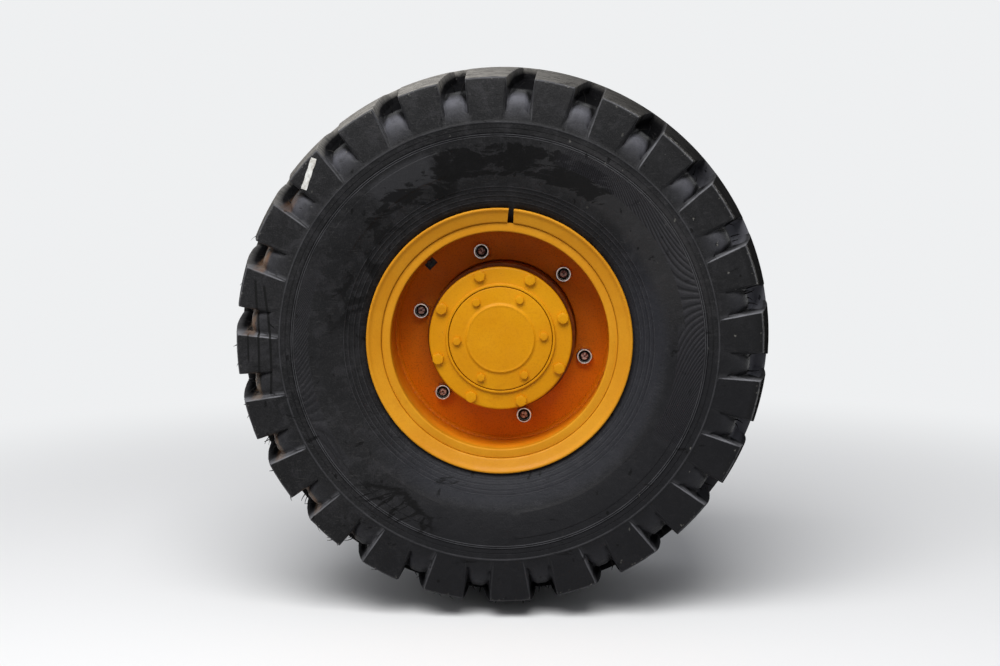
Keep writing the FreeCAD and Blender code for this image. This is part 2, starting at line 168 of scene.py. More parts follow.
def spool(circle, clock, front, back, radius, flare, sides=24):
    """Round cutter along Y with a flare at both ends, for a hole with broken edges."""
    shape = []
    for station, r in ((front - 5, radius + flare + 5), (front + flare, radius), (back - flare, radius),
                       (back + 5, radius + flare + 5)):
        centre = on_wheel(circle, clock, station)
        shape.append([(centre[0] + r / 1000 * math.cos(math.tau * k / sides), centre[1],
                       centre[2] + r / 1000 * math.sin(math.tau * k / sides)) for k in range(sides)])
    return lofted(shape)


def lofted(rings):
    """Solid through rings of points that all have the same count."""
    sides = len(rings[0])
    points = [point for ring in rings for point in ring]
    faces = [tuple(range(sides))[::-1], tuple(range(len(points) - sides, len(points)))]
    for row in range(len(rings) - 1):
        for k in range(sides):
            m = (k + 1) % sides
            faces.append((row * sides + k, row * sides + m, (row + 1) * sides + m, (row + 1) * sides + k))
    return points, faces


def new_finish(name, colour, roughness, **sockets):
    """Material whose shader starts from plain values."""
    finish = bpy.data.materials.new(name)
    finish.use_nodes = True
    shader = finish.node_tree.nodes["Principled BSDF"]
    shader.inputs["Base Color"].default_value = (*colour, 1)
    shader.inputs["Roughness"].default_value = roughness
    for socket, value in sockets.items():
        shader.inputs[socket.replace("_", " ")].default_value = value
    return finish


def put(finish, kind, inputs, output=0, **settings):
    """Output of a new node, whose sockets get numbers, colours or the outputs of other nodes."""
    node = finish.node_tree.nodes.new("ShaderNode" + kind)
    for setting, value in settings.items():
        setattr(node, setting, value)
    for socket, value in inputs.items():
        if isinstance(value, bpy.types.NodeSocket):
            finish.node_tree.links.new(value, node.inputs[socket])
        else:
            node.inputs[socket].default_value = value
    return node.outputs[output]


def calc(finish, operation, *values):
    return put(finish, "Math", dict(enumerate(values)), operation=operation)


def place(finish):
    """Place on the piece, in metres."""
    return put(finish, "TexCoord", {}, output="Object")


def cloudy(finish, where, scale, detail=4.0, rough=0.6, twist=0.0):
    inputs = {"Vector": where, "Scale": scale, "Detail": detail, "Roughness": rough, "Distortion": twist}
    return put(finish, "TexNoise", inputs)


def band(finish, value, low, high, bottom=0.0, top=1.0):
    """Value spread from low...high to bottom...top and held there."""
    inputs = {"Value": value, "From Min": low, "From Max": high, "To Min": bottom, "To Max": top}
    return put(finish, "MapRange", inputs, interpolation_type="SMOOTHSTEP")


def mixed(finish, amount, colour, other):
    """Colour with another laid over it by an amount from 0 to 1."""
    colour = colour if isinstance(colour, bpy.types.NodeSocket) else (*colour, 1)
    other = other if isinstance(other, bpy.types.NodeSocket) else (*other, 1)
    return put(finish, "Mix", {0: amount, 6: colour, 7: other}, output=2, data_type="RGBA")


def raised(finish, height, distance, normal=None, strength=1.0):
    inputs = {"Height": height, "Distance": distance, "Strength": strength}
    if normal:
        inputs["Normal"] = normal
    return put(finish, "Bump", inputs)


def shade(finish, **sockets):
    """Link outputs of nodes to the shader."""
    shader = finish.node_tree.nodes["Principled BSDF"]
    for socket, value in sockets.items():
        finish.node_tree.links.new(value, shader.inputs[socket.replace("_", " ")])


def polar(finish):
    """Radius in millimetres, clock angle in radians and station in millimetres on the wheel."""
    x, y, z = (put(finish, "SeparateXYZ", {0: place(finish)}, output=axis) for axis in range(3))
    radius = calc(finish, "MULTIPLY", calc(finish, "SQRT", calc(
        finish, "ADD", calc(finish, "MULTIPLY", x, x), calc(finish, "MULTIPLY", z, z))), 1000)
    station = calc(finish, "MULTIPLY_ADD", y, 1000, WHEEL_OFFSET)
    return radius, calc(finish, "ARCTAN2", x, z), station


axle_paint = new_finish("axle_paint", (0.03, 0.032, 0.038), 0.45, Specular_IOR_Level=0.45)
where = place(axle_paint)
dust = band(axle_paint, cloudy(axle_paint, where, 9, 6), 0.5, 0.75, 0.0, 0.55)
axle_colour = mixed(axle_paint, dust, (0.026, 0.028, 0.034), (0.11, 0.095, 0.08))
casting = cloudy(axle_paint, where, 380, 3)
shade(axle_paint, Base_Color=axle_colour, Roughness=band(axle_paint, dust, 0, 0.5, 0.4, 0.8),
      Normal=raised(axle_paint, casting, 0.0006, raised(axle_paint, cloudy(axle_paint, where, 60), 0.0012)))

arm = shaped("axle_arm_casting", turned([
    (46.3, 143.3, 0), (96, 143.3, 1.5), (96, 157.3, 3), (62, 157.3, 7), (62, 255, 12),
    (150, 255, 4), (150, 275, 2), (42, 275, 2), (42, 183.6, 0), (46.3, 183.6, 0),
]), axle_paint)
ribs = []
for index in range(5):
    clock = 18 + 72 * index
    side = Vector((math.cos(math.radians(clock)), 0, -math.sin(math.radians(clock))))
    outline = eased([(55, 172, 0), (62, 178, 6), (104, 249, 10), (114, 262, 2), (55, 262, 0)])
    rings = []
    for reach, shrink in ((-6, 1.5), (-5, 0.3), (-4, 0), (4, 0), (5, 0.3), (6, 1.5)):
        rings.append([Vector(on_wheel(radius - shrink, clock, station + shrink * 0.6)) + side * reach / 1000
                      for radius, station in outline])
    ribs.append(lofted(rings))
combine(arm, joined(ribs), "UNION")
combine(arm, joined([spool(128, 36 * k, 255, 275, 7, 1) for k in range(10)]), "DIFFERENCE")
fitted(arm, "axle_end", "axle_paint", "axle_arm")


def hex_head(circle, clock, station, across, height, dome=0.0, turn=0.0, chamfer=0.32, sides=36):
    """Forged hexagon head standing outward from a station, its corners cut back by a cone."""
    rings = []
    cut_r = across / 2 * 1.155
    for level, reach in ((0, 1), (1 - chamfer, 1), (1 - chamfer * 0.45, 0.965), (0.97, 0.9), (1, 0.84)):
        ring = []
        for k in range(sides):
            around = 360 * k / sides
            flat = across / 2 / math.cos(math.radians((around + 30) % 60 - 30))
            ring.append((min(flat, cut_r * reach), around + turn, level * height))
        rings.append(ring)
    rings.append([(across * 0.2, around, height * (1 + dome)) for r, around, level in rings[-1]])
    centre = on_wheel(circle, clock, station)
    return lofted([[(centre[0] + r / 1000 * math.sin(math.radians(around + clock)), centre[1] - level / 1000,
                     centre[2] + r / 1000 * math.cos(math.radians(around + clock)))
                    for r, around, level in ring] for ring in rings])


# ---------------------------------------------------------------- backing plate
# Pressed steel plate that closes the drum, with a rolled rim that laps outside it.
# It is bolted to the brake flange of the arm by ten screws, and has two inspection plugs.
plate = shaped("backing_plate_pressing", turned([
    (62, 139.3, 0), (150, 139.3, 2), (158, 139.3, 3), (166, 136, 4), (166, 115.3, 0.8), (170, 115.3, 0.8),
    (170, 143.3, 5), (112, 143.3, 3), (108, 143.3, 3), (62, 143.3, 0),
]), axle_paint)
fitted(plate, "axle_end", "axle_paint", "backing_plate")
plate_screws = []
for k in range(10):
    head_points, head_faces = hex_head(84, 36 * k, -157.3, 16, 6.5, turn=21 * k)
    plate_screws.append(([(px, -0.55 - py, pz) for px, py, pz in head_points], head_faces))
plate_screws = shaped("plate_screws", joined(plate_screws), axle_paint, 30)
fitted(plate_screws, "axle_end", "axle_paint")
plate_plugs = []
for clock in (100, 260):
    rings = []
    for station, r in ((143, 12), (145.6, 12), (146.6, 11), (146.6, 6), (145.4, 5)):
        centre = on_wheel(134, clock, station)
        rings.append([(centre[0] + r / 1000 * math.cos(math.tau * n / 32), centre[1],
                       centre[2] + r / 1000 * math.sin(math.tau * n / 32)) for n in range(32)])
    plate_plugs.append(lofted(rings))
plate_plugs = shaped("plate_plugs", joined(plate_plugs), axle_paint, 30)
fitted(plate_plugs, "axle_end", "axle_paint")

# ---------------------------------------------------------------- spindle and half shaft
# Ground steel spindle, pressed into the arm, and the splined shaft that drives the hub through it.
# Both stay as the solids made them, in bare machined steel with a film of grease.
bare_steel = new_finish("bare_steel", (0.38, 0.37, 0.36), 0.35, Metallic=1.0)
where = place(bare_steel)
rings_about = cloudy(bare_steel, put(bare_steel, "Mapping", {"Vector": where, "Scale": (1, 60, 1)}), 14, 4)
steel_colour = mixed(bare_steel, band(bare_steel, cloudy(bare_steel, where, 30), 0.5, 0.7),
                     (0.40, 0.39, 0.37), (0.22, 0.19, 0.15))
shade(bare_steel, Base_Color=steel_colour, Roughness=band(bare_steel, rings_about, 0.3, 0.7, 0.25, 0.5),
      Normal=raised(bare_steel, rings_about, 0.0002))
for name in ("spindle", "half_shaft"):
    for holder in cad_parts[name] if isinstance(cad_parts[name], (list, tuple)) else [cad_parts[name]]:
        holder.data.materials.clear()
        holder.data.materials.append(bare_steel)

# ---------------------------------------------------------------- brake drum
# Cast iron drum behind the hub flange, turned inside and on its seat, with a thicker band at its open edge.
# The outside is left as cast and has a skin of rust.
cast_iron = new_finish("cast_iron", (0.09, 0.085, 0.08), 0.7, Metallic=0.6)
where = place(cast_iron)
rust = band(cast_iron, cloudy(cast_iron, where, 22, 8, 0.65), 0.42, 0.66)
shade(cast_iron, Base_Color=mixed(cast_iron, rust, (0.07, 0.066, 0.062), (0.14, 0.055, 0.025)),
      Roughness=band(cast_iron, rust, 0, 1, 0.55, 0.9),
      Normal=raised(cast_iron, cloudy(cast_iron, where, 300, 4), 0.001))
drum = shaped("brake_drum_casting", turned([
    (98.35, 3.3, 0), (150, 3.3, 1), (158, 3.3, 5), (158, 110, 2), (160, 112, 1), (160, 133.3, 2),
    (150, 133.3, 2), (150, 13.3, 4), (98.35, 13.3, 0),
]), cast_iron)
fitted(drum, "wheel", "cast_iron", "brake_drum")

# ---------------------------------------------------------------- hub
# Cast hub on the spindle: a pilot through the disc, a flange behind it with six pressed-in studs.
# It is painted with the wheel.


def painted(name, colour, shadow, light, speck=0.5, shade_on_side=False, shade_and_bounce_inside=False):
    """Sprayed enamel over steel: slow changes of tone, orange peel, dust and small chips. It can also paint shade on
    the side of the hub, and shade with orange bounced light inside the rim's barrel.
    """
    finish = new_finish(name, colour, 0.42, Specular_IOR_Level=0.16)
    spot = place(finish)
    tone = mixed(finish, band(finish, cloudy(finish, spot, 7, 5), 0.35, 0.7), colour, light)
    tone = mixed(finish, band(finish, cloudy(finish, spot, 26, 7, 0.7), 0.56, 0.8, 0, 0.55), tone, shadow)
    tone = mixed(finish, band(finish, cloudy(finish, spot, 360, 4, 0.7), 0.5, 0.62, 0, speck * 0.6), tone, shadow)
    chips = band(finish, cloudy(finish, spot, 170, 3, 0.5), 0.74, 0.78, 0, speck)
    tone = mixed(finish, chips, tone, (0.16, 0.075, 0.03))
    # Painted shade: beyond a radius of about 125 mm, the sides of the hub and its cover turn dark red-brown.
    if shade_on_side:
        distance = polar(finish)[0]
        side_shade_tone = mixed(finish, band(finish, cloudy(finish, spot, 30, 6), 0.4, 0.6), (0.22, 0.048, 0.002), (0.13, 0.026, 0.001))
        tone = mixed(finish, band(finish, distance, 124.9, 125.4), tone, side_shade_tone)
    # Painted shade and orange bounced light: inside the barrel the paint turns deep orange away from the lip.
    if shade_and_bounce_inside:
        distance, around, station = polar(finish)
        inside = calc(finish, "MULTIPLY", band(finish, distance, 197, 195.5), band(finish, station, -150, -85))
        tone = mixed(finish, inside, tone, (0.86, 0.262, 0.006))
    rough = band(finish, cloudy(finish, spot, 40, 4), 0.3, 0.7, 0.34, 0.55)
    peel = raised(finish, cloudy(finish, spot, 900, 2), 0.00012)
    shade(finish, Base_Color=tone, Roughness=rough, Normal=raised(finish, cloudy(finish, spot, 90, 3), 0.0004, peel))
    return finish


# The hub's paint turns dark red-brown on its sides as painted shade.
hub_paint = painted("hub_paint", (0.62, 0.252, 0.0012), (0.50, 0.175, 0.001), (0.68, 0.298, 0.0016), shade_on_side=True)
hub = [turned([
    (104, -93, 1), (130.7, -93, 2), (130.7, -16.7, 2), (172, -16.7, 2), (172, 3, 2), (98.05, 3, 1),
    (98.05, 112, 2), (46.05, 112, 1), (46.05, -40, 1), (104, -40, 8),
], sides=160)]
hub_casting = shaped("hub_casting", joined(hub), hub_paint)
fitted(hub_casting, "wheel", "hub_paint", "hub_shell")

# ---------------------------------------------------------------- rim base
# Rolled steel base of the rim: the fixed flange inside, the bead seat, and a gutter at its outer edge.
# It is welded all round to the disc and sprayed with it.
# Inside its barrel the paint turns deep orange, as painted shade and orange bounced light.
rim_paint = painted("rim_paint", (0.585, 0.235, 0.007), (0.47, 0.162, 0.004), (0.65, 0.285, 0.012), speck=0.35,
                    shade_and_bounce_inside=True)
rim = shaped("rim_base_rolled", turned([
    (194.5, -151, 3), (188, -157, 3), (188, -171, 3), (203.2, -171, 1.2), (203.2, -165, 1), (195.2, -161, 1),
    (203.2, -157, 2), (203.2, 157, 4), (213.2, 165, 6), (228.6, 176.8, 2.5), (228.6, 185, 4), (194.5, 157, 8),
], sides=192), rim_paint)
fitted(rim, "wheel", "rim_paint", "rim_base")

# ---------------------------------------------------------------- disc
# Thick flat plate pressed into the rim base, with a round bore, six stud holes and a slot for the valve.
# Its paint is a deeper orange than the rim's, which is painted shade and orange bounced light for the deep recess, and
# an all-round weld bead fills its edge.
disc_paint = painted("disc_paint", (0.75, 0.192, 0.002), (0.50, 0.104, 0.002), (0.81, 0.215, 0.003), speck=0.9)
disc = shaped("wheel_disc_plate", turned([
    (132.8, -31, 1.6), (131, -26, 0), (131, -17, 1.2), (194.2, -17, 2), (194.2, -31, 2),
], sides=192), disc_paint)
combine(disc, joined([spool(152.6, 45.7 + 60 * k, -31, -17, 10, 1) for k in range(6)]), "DIFFERENCE")
slot_side = Vector((math.cos(math.radians(314)), 0, -math.sin(math.radians(314)))) * 0.0102
slot_rings = []
for station in (-40, -10):
    slot_rings.append([Vector(on_wheel(radius, 314, station)) + slot_side * side
                       for radius, side in ((173, -1), (173, 1), (200, 1), (200, -1))])
combine(disc, lofted(slot_rings), "DIFFERENCE")
fitted(disc, "wheel", "disc_paint", "wheel_disc")
weld = []
for radius_in, station_face in ((187, -31), (187, -17)):
    out = -1 if station_face == -31 else 1
    rings = []
    for k in range(480):
        ripple = 0.5 * math.sin(math.radians(k * 0.75 * 120)) + 0.3 * math.sin(k * 0.37)
        rings.append((k, ripple))
    points, faces = [], []
    for k, ripple in rings:
        for radius, lift in ((194.3, 0), (194.3, 6 + ripple), (191, 4.6 + ripple), (188.4, 2.2 + ripple * 0.6),
                             (187 - ripple * 0.5, 0)):
            points.append(on_wheel(radius, k * 0.75, station_face + out * (lift - 0.3)))
    for k in range(480):
        for row in range(5):
            a, b = k * 5 + row, k * 5 + (row + 1) % 5
            c, d = (k + 1) % 480 * 5 + (row + 1) % 5, (k + 1) % 480 * 5 + row
            faces.append((a, b, c, d))
    weld.append((points, faces))
weld_bead = shaped("disc_weld", joined(weld), disc_paint, sharp=60)
fitted(weld_bead, "wheel", "disc_paint")

# ---------------------------------------------------------------- valve
# Rubber-covered valve of the inner tube: it comes through the rim base and lies behind the slot of the disc.
valve_rubber = new_finish("valve_rubber", (0.012, 0.012, 0.013), 0.5, Specular_IOR_Level=0.4)
where = place(valve_rubber)
shade(valve_rubber, Base_Color=mixed(valve_rubber, band(valve_rubber, cloudy(valve_rubber, where, 90, 5), 0.4, 0.7),
                                     (0.010, 0.010, 0.011), (0.028, 0.026, 0.025)),
      Normal=raised(valve_rubber, cloudy(valve_rubber, where, 300, 3), 0.0006))
valve_side = Vector((math.cos(math.radians(314)), 0, -math.sin(math.radians(314))))
rings = []
for station, shrink in ((-12, 0), (-25, 0), (-26.5, 1.2), (-26.5, 3.5), (-24.5, 4.2)):
    rings.append([Vector(on_wheel(radius, 314, station)) + valve_side * across / 1000
                  for radius, across in eased([(171 + shrink, -12 + shrink, 4), (171 + shrink, 12 - shrink, 4),
                                               (193.9 - shrink, 12 - shrink, 4), (193.9 - shrink, -12 + shrink, 4)])])
flap = lofted(rings)
rings = []
for level, r in ((0, 4.5), (8, 4.2), (8.6, 3.4), (12, 3.4), (12.6, 2.6), (12.6, 0)):
    centre = on_wheel(184, 314, -23 - level)
    rings.append([(centre[0] + r / 1000 * math.sin(math.tau * n / 20), centre[1],
                   centre[2] + r / 1000 * math.cos(math.tau * n / 20)) for n in range(20)])
valve = shaped("tube_valve", joined([flap, lofted(rings)]), valve_rubber)
fitted(valve, "wheel", "rim_paint")

# ---------------------------------------------------------------- tyre
# Bias-ply earthmover tyre: 24 lugs a side about a middle rib, with a ridge at the foot of the lugs.
# Moulded rubber, dusty on the tread, with finely ribbed fields and bare raised panels on its sidewalls.
LUGS = 24
PITCH = 360 / LUGS
COLUMNS = 22
GROOVE_CLOCK = 5.1
# Side wall of a groove: distance from the lug's edge, share of the depth in the tread and on the side,
# and how far the groove's outer corner is rounded down beside the lug
GROOVE_WALL = ((-2.4, 0, 0, 0), (-1.2, 0, 0, 0), (0, 0.03, 0.12, 3), (1.3, 0.5, 0.96, 23), (2.8, 0.86, 1, 19),
               (5, 0.94, 1, 13), (9, 0.985, 1, 5), (15, 1, 1, 0.8))
# Strength of the painted highlight along the crest of a groove floor, by station
CREST_HIGHLIGHT = ((190, 0), (199, 0.5), (205, 1), (209.5, 0.85), (213, 0.42), (215.5, 0.15), (217.6, 0))
END_WALL = ((-2.4, 0), (-1.2, 0), (0, 0.03), (1.3, 0.5), (2.8, 0.86), (5, 0.94), (9, 1))


def smooth_line(stops, value):
    """Height of a smooth line through (place, height) stops."""
    count = len(stops)
    for index in range(count - 1):
        if value <= stops[index + 1][0] or index == count - 2:
            break
    (a, left), (b, right) = stops[index], stops[index + 1]
    before, after = stops[max(index - 1, 0)], stops[min(index + 2, count - 1)]
    span = b - a
    slope_left = (right - before[1]) / (b - before[0]) * span
    slope_right = (after[1] - left) / (after[0] - a) * span
    part = (value - a) / span
    return ((2 * part ** 3 - 3 * part ** 2 + 1) * left + (part ** 3 - 2 * part ** 2 + part) * slope_left
            + (3 * part ** 2 - 2 * part ** 3) * right + (part ** 3 - part ** 2) * slope_right)


def crown(station):
    """Radius of the tread."""
    return 475.4 - 29.4 * (station / 210) ** 1.8


def groove_floor(station):
    """Radius of the groove floor."""
    return 452 - 26 * (station - 26) / 164


# Rows of the lugged half: radius and station on top, radius and station of the floor, share of the depth,
# and share of the rounding beside the lugs
tread_rows = [(crown(s), s, crown(s) - 1, s, 0, 0) for s in (8, 16)]
for at, share in END_WALL:
    tread_rows.append((crown(26 + at), 26 + at, groove_floor(26 + at), 26 + at, share, 0))
for station, rounding in ((48, 0), (64, 0), (82, 0), (100, 0), (118, 0), (134, 0), (148, 0.1), (160, 0.3), (169, 0.6),
                          (177, 0.85)):
    tread_rows.append((crown(station), station, groove_floor(station), station, 1, rounding))
for top_s, floor_r, floor_s in ((184, 426.9, 184), (190, 425.4, 190), (195.5, 422.9, 195.6), (200, 419.6, 200.6),
                                (204, 415.2, 205), (207.3, 410.8, 208.3)):
    tread_rows.append((crown(top_s), top_s, floor_r, floor_s, 1, 1))
for row in (
        (446.2, 209.3, 407.2, 210.3, 1, 1), (445.3, 210.1, 404, 211.4, 1, 0.92), (443.6, 210.6, 400.8, 212.3, 1, 0.78),
        (439, 211.4, 397.2, 213.1, 1, 0.5), (431, 212.5, 393.4, 213.9, 1, 0.25), (421, 213.7, 389.6, 214.6, 1, 0.1),
        (411, 214.8, 386, 215.2, 1, 0.03), (401, 215.7, 382.8, 215.8, 1, 0), (392, 216.4, 380, 216.3, 1, 0),
        (385, 216.9, 377.8, 216.7, 1, 0), (380, 217.2, 376, 217.05, 1, 0), (376.6, 217.4, 374.8, 217.3, 1, 0),
        (375, 217.6, 374.2, 217.6, 1, 0)):
    tread_rows.append(row)

SIDE_LINE = [(203.5, 154.7), (214, 164), (228.9, 175.6), (245, 184.6), (264, 193.2), (300.3, 206.4), (340, 214.6),
             (374, 217.7)]
side_rows = [(373.4, 0.7), (372.2, 1.2), (370.8, 1.1), (369.8, 0.1), (366, 0), (362.6, 0), (362, -0.7), (361.2, -0.7),
             (360.6, 0), (357, 0), (354.3, 0), (353.6, -1.0), (352.6, -1.0), (352.0, 0.8), (351.2, 0.8), (350.6, -0.7),
             (349.6, -0.7), (349.0, 0.7), (348.2, 0.7), (347.5, 0), (344, 0), (336.6, 0), (335.4, 0), (330, 0), (324, 0),
             (318, 0), (312, 0), (306, 0), (300, 0), (294.6, 0), (293.4, 0), (288, 0), (282, 0), (276, 0), (270, 0),
             (266.6, 0)]
for radius in (265.8, 259, 250.5, 242):
    side_rows += [(radius, 0), (radius - 0.3, 0.55), (radius - 1.0, 0.55), (radius - 1.3, 0), (radius - 2.4, 0),
                  (radius - 2.7, -0.5), (radius - 3.4, -0.5), (radius - 3.7, 0)]
side_rows += [(232, 0), (229.2, 0), (222, 0), (214, 0), (208, 0), (203.5, 0)]


def panel_lift(radius, clock):
    """Lift of the bare raised panels moulded on the sidewall where sizes and names usually stand."""
    lift = 0.0
    for middle, half in ((146, 30), (322, 22), (222, 24)):
        away = abs((clock - middle + 180) % 360 - 180)
        inside = min(max((half - away) / 1.4, 0), 1) * min(max((radius - 293.4) / 1.2, 0), 1)
        lift = max(lift, 1.1 * inside * min(max((336.6 - radius) / 1.2, 0), 1))
    return lift


tyre_points, tyre_faces, rings = [], [], {-1: [], 1: []}
tyre_marks = {"groove": [], "edge": [], "running": [], "crest": [], "far": []}
columns = LUGS * COLUMNS
nicks = random.Random(5)


def tyre_point(radius, clock, station, groove=0.0, edge=0.0, running=0.0, crest=0.0, far=0.0):
    tyre_points.append(on_wheel(radius, clock, station))
    for name, value in (("groove", groove), ("edge", edge), ("running", running), ("crest", crest), ("far", far)):
        tyre_marks[name].append(value)
    return len(tyre_points) - 1


def even_clock(k):
    """Clock angle of a column where the columns stand evenly."""
    return GROOVE_CLOCK + (k - 6.5) * PITCH / COLUMNS


def upward(clock, facing):
    """How far a face that looks clockwise (1), anticlockwise (-1) or outward (0) is turned to the sky."""
    angle = math.radians(clock)
    return -math.sin(angle) * facing if facing else math.cos(angle)


# Running mark on the middle rib, strongest where it faces up: dust, and a painted reflection of the sky.
middle_ring = [tyre_point(crown(0), even_clock(k), 0, running=0.05 + 0.95 * max(upward(even_clock(k) + 24, 0), 0) ** 4)
               for k in range(columns)]
for side in (-1, 1):
    rings[side].append(middle_ring)
    for top_r, top_s, floor_r, floor_s, row_share, rounding in tread_rows:
        slant = -24 + 20 * min(max((210 - top_s) / 184, 0), 1)
        on_side = top_s > 208.5
        left, right = (slant, 24) if side < 0 else (-24, -slant)
        reach = min(1, ((right - left) / 2 - 1.5) / 15)
        spots = []
        for wall, facing, start in ((GROOVE_WALL, 1, left), (GROOVE_WALL[::-1], -1, right)):
            for at, deep, shallow, corner in wall:
                spots.append((start + facing * at * (reach if at > 2 else 1), shallow if on_side else deep, at, facing,
                              corner * (1 if facing < 0 else 0.6)))
        pitch_length = math.radians(PITCH) * top_r
        first, last = right + 7, pitch_length + left - 7
        spots += [(first + (last - first) * n / 5, 0, -99, 0, 0) for n in range(6)]
        warp = min(max(top_s / 20, 0), 1)
        ring = [None] * columns
        for lug in range(LUGS):
            middle = GROOVE_CLOCK + PITCH * lug + (PITCH / 2 if side > 0 else 0)
            for j, (offset, share, at, facing, corner) in enumerate(spots):
                even = (j - 7.5) * PITCH / COLUMNS
                clock = middle + even + (math.degrees(offset / top_r) - even) * warp
                depth = min(share, row_share)
                radius = top_r + (floor_r - corner * rounding - top_r) * depth
                station = top_s + (floor_s - top_s) * depth
                # Edge marks: a painted highlight on lug edges and groove walls by how far they face the sky, and a
                # fixed lighter line on the other lug edges.
                sky = min(max(0.1 + 1.1 * upward(clock, facing), 0.06), 1) if facing else 0
                sky *= 1 - 0.8 * max(upward(clock, 0), 0) if facing > 0 else 1
                edge = 0.0
                if on_side and -0.5 < at < 2:
                    edge = sky * (0.9 if at < 1 else 0.3 if floor_s < 213 else 0) * min(max((top_r - 374) / 10, 0.3), 1)
                    station -= 0.8 if at == 0 and top_r > 379 else 0
                elif top_s > 150 and 0 <= at < 8 and row_share:
                    edge = sky * min((top_s - 150) / 40, 1) * (0.8 if at < 1 else 0.45 if at < 4 else 0.22)
                    edge *= 0.3 if facing < 0 and at > 1 else 1
                elif -0.5 < at < 0.5 and row_share:
                    edge = 0.3
                if at < 0.5 and 207 < top_s < 210.4:
                    edge = max(edge, 0.35)
                if -2 < at < 2 and top_s > 30 or 206 < top_s < 210.4 and at < 0:
                    radius += nicks.uniform(-0.35, 0.35) if top_r > 380 else 0
                    clock += nicks.uniform(-0.035, 0.035)
                # The running mark is strongest where the tread faces up: dust, and a painted reflection of the sky.
                running = 0.05 + 0.95 * max(upward(clock + 24, 0), 0) ** 4 if top_s < 206 and depth < 0.05 else 0.0
                # The crest mark is a painted highlight where the groove floors roll over to the side, brightest where
                # they face the sky.
                crest = 0.0
                if 190 < floor_s < 217.5 and at > 2 and row_share:
                    crest = (0.2 + 0.8 * max(upward(clock, 0), 0)) * max(smooth_line(CREST_HIGHLIGHT, floor_s), 0)
                    crest *= (0.5 if at < 6 else 1) * (0.6 if facing and abs(upward(clock, 0)) < 0.4 else 1)
                    crest *= 0.4 if at < 9 and facing < 0 and upward(clock, 0) < 0.7 else 1
                # The far mark picks out the far rows of each groove, for their painted light.
                far = 1.0 if at > 0.5 and row_share and top_s < 165 else 0.0
                k = (lug * COLUMNS + j + (COLUMNS // 2 if side > 0 else 0)) % columns
                ring[k] = tyre_point(radius, clock, side * station, depth, edge, running, crest, far)
        rings[side].append(ring)
    for radius, lift in side_rows:
        ring = []
        for k in range(0, columns, 2):
            clock = even_clock(k)
            station = smooth_line(SIDE_LINE, radius) + lift + panel_lift(radius, clock)
            # The raised lines on the side get a fixed lighter edge mark.
            edge = 0.26 if 0.6 < lift and radius < 370 else 0.14 if lift > 1 or 0.5 < lift < 0.6 else 0
            ring.append(tyre_point(radius, clock, side * min(station, 218.9), edge=edge))
        rings[side].append(ring)
    for radius, station in ((203.5, 146), (203.5, 141), (215, 140), (250, 140), (300, 140), (350, 140), (395, 138),
                            (415, 128), (423, 110), (424, 60)):
        rings[side].append([tyre_point(radius, even_clock(k), side * station) for k in range(0, columns, 2)])
    for ring, after in zip(rings[side], rings[side][1:]):
        count = len(ring)
        if count == len(after):
            for k in range(count):
                m = (k + 1) % count
                tyre_faces.append((ring[k], ring[m], after[m], after[k]))
        else:
            for k in range(0, count, 2):
                m = k // 2
                n = (m + 1) % len(after)
                tyre_faces.append((ring[k], ring[k + 1], after[m]))
                tyre_faces.append((ring[k + 1], ring[(k + 2) % count], after[n], after[m]))
ring, after = rings[-1][-1], rings[1][-1]
for k in range(len(ring)):
    m = (k + 1) % len(ring)
    tyre_faces.append((ring[k], ring[m], after[m], after[k]))

tyre_rubber = new_finish("tyre_rubber", (0.010, 0.010, 0.011), 0.45, Specular_IOR_Level=0.13)
radius, around, station = polar(tyre_rubber)
where = place(tyre_rubber)
x, y, z = (put(tyre_rubber, "SeparateXYZ", {0: where}, output=axis) for axis in range(3))


def rubber_field(middle, half, low, high, soft=8.0, ends=8):
    """Share of a field of the sidewall between two radii, about a clock angle."""
    turn = calc(tyre_rubber, "WRAP", calc(tyre_rubber, "SUBTRACT", around, math.radians(middle)), math.pi, -math.pi)
    inside = band(tyre_rubber, calc(tyre_rubber, "ABSOLUTE", turn), math.radians(half), math.radians(half - ends))
    inside = calc(tyre_rubber, "MULTIPLY", inside, band(tyre_rubber, radius, low, low + soft))
    return calc(tyre_rubber, "MULTIPLY", inside, band(tyre_rubber, radius, high, high - soft))


def mark(name):
    return put(tyre_rubber, "Attribute", {}, output=2, attribute_name=name)


def times(*values):
    """Product of several shares."""
    product = values[0]
    for value in values[1:]:
        product = calc(tyre_rubber, "MULTIPLY", product, value)
    return product


def either(*values):
    """Largest of several shares."""
    most = values[0]
    for value in values[1:]:
        most = calc(tyre_rubber, "MAXIMUM", most, value)
    return most


def specks(scale, size, share, flat=1.0):
    """Scattered small spots, of which only a share shows."""
    spot = put(tyre_rubber, "Mapping", {"Vector": where, "Scale": (1, 1, flat)})
    spot = put(tyre_rubber, "MixRGB", {0: 0.012, 1: spot, 2: cloudy(tyre_rubber, where, scale * 1.7, 3)})
    near = put(tyre_rubber, "TexVoronoi", {"Vector": spot, "Scale": scale})
    kind = put(tyre_rubber, "TexVoronoi", {"Vector": spot, "Scale": scale}, output=1)
    chosen = put(tyre_rubber, "SeparateColor", {0: kind}, output=0)
    return times(band(tyre_rubber, near, size, size * 0.7), band(tyre_rubber, chosen, 1 - share, 1.02 - share))


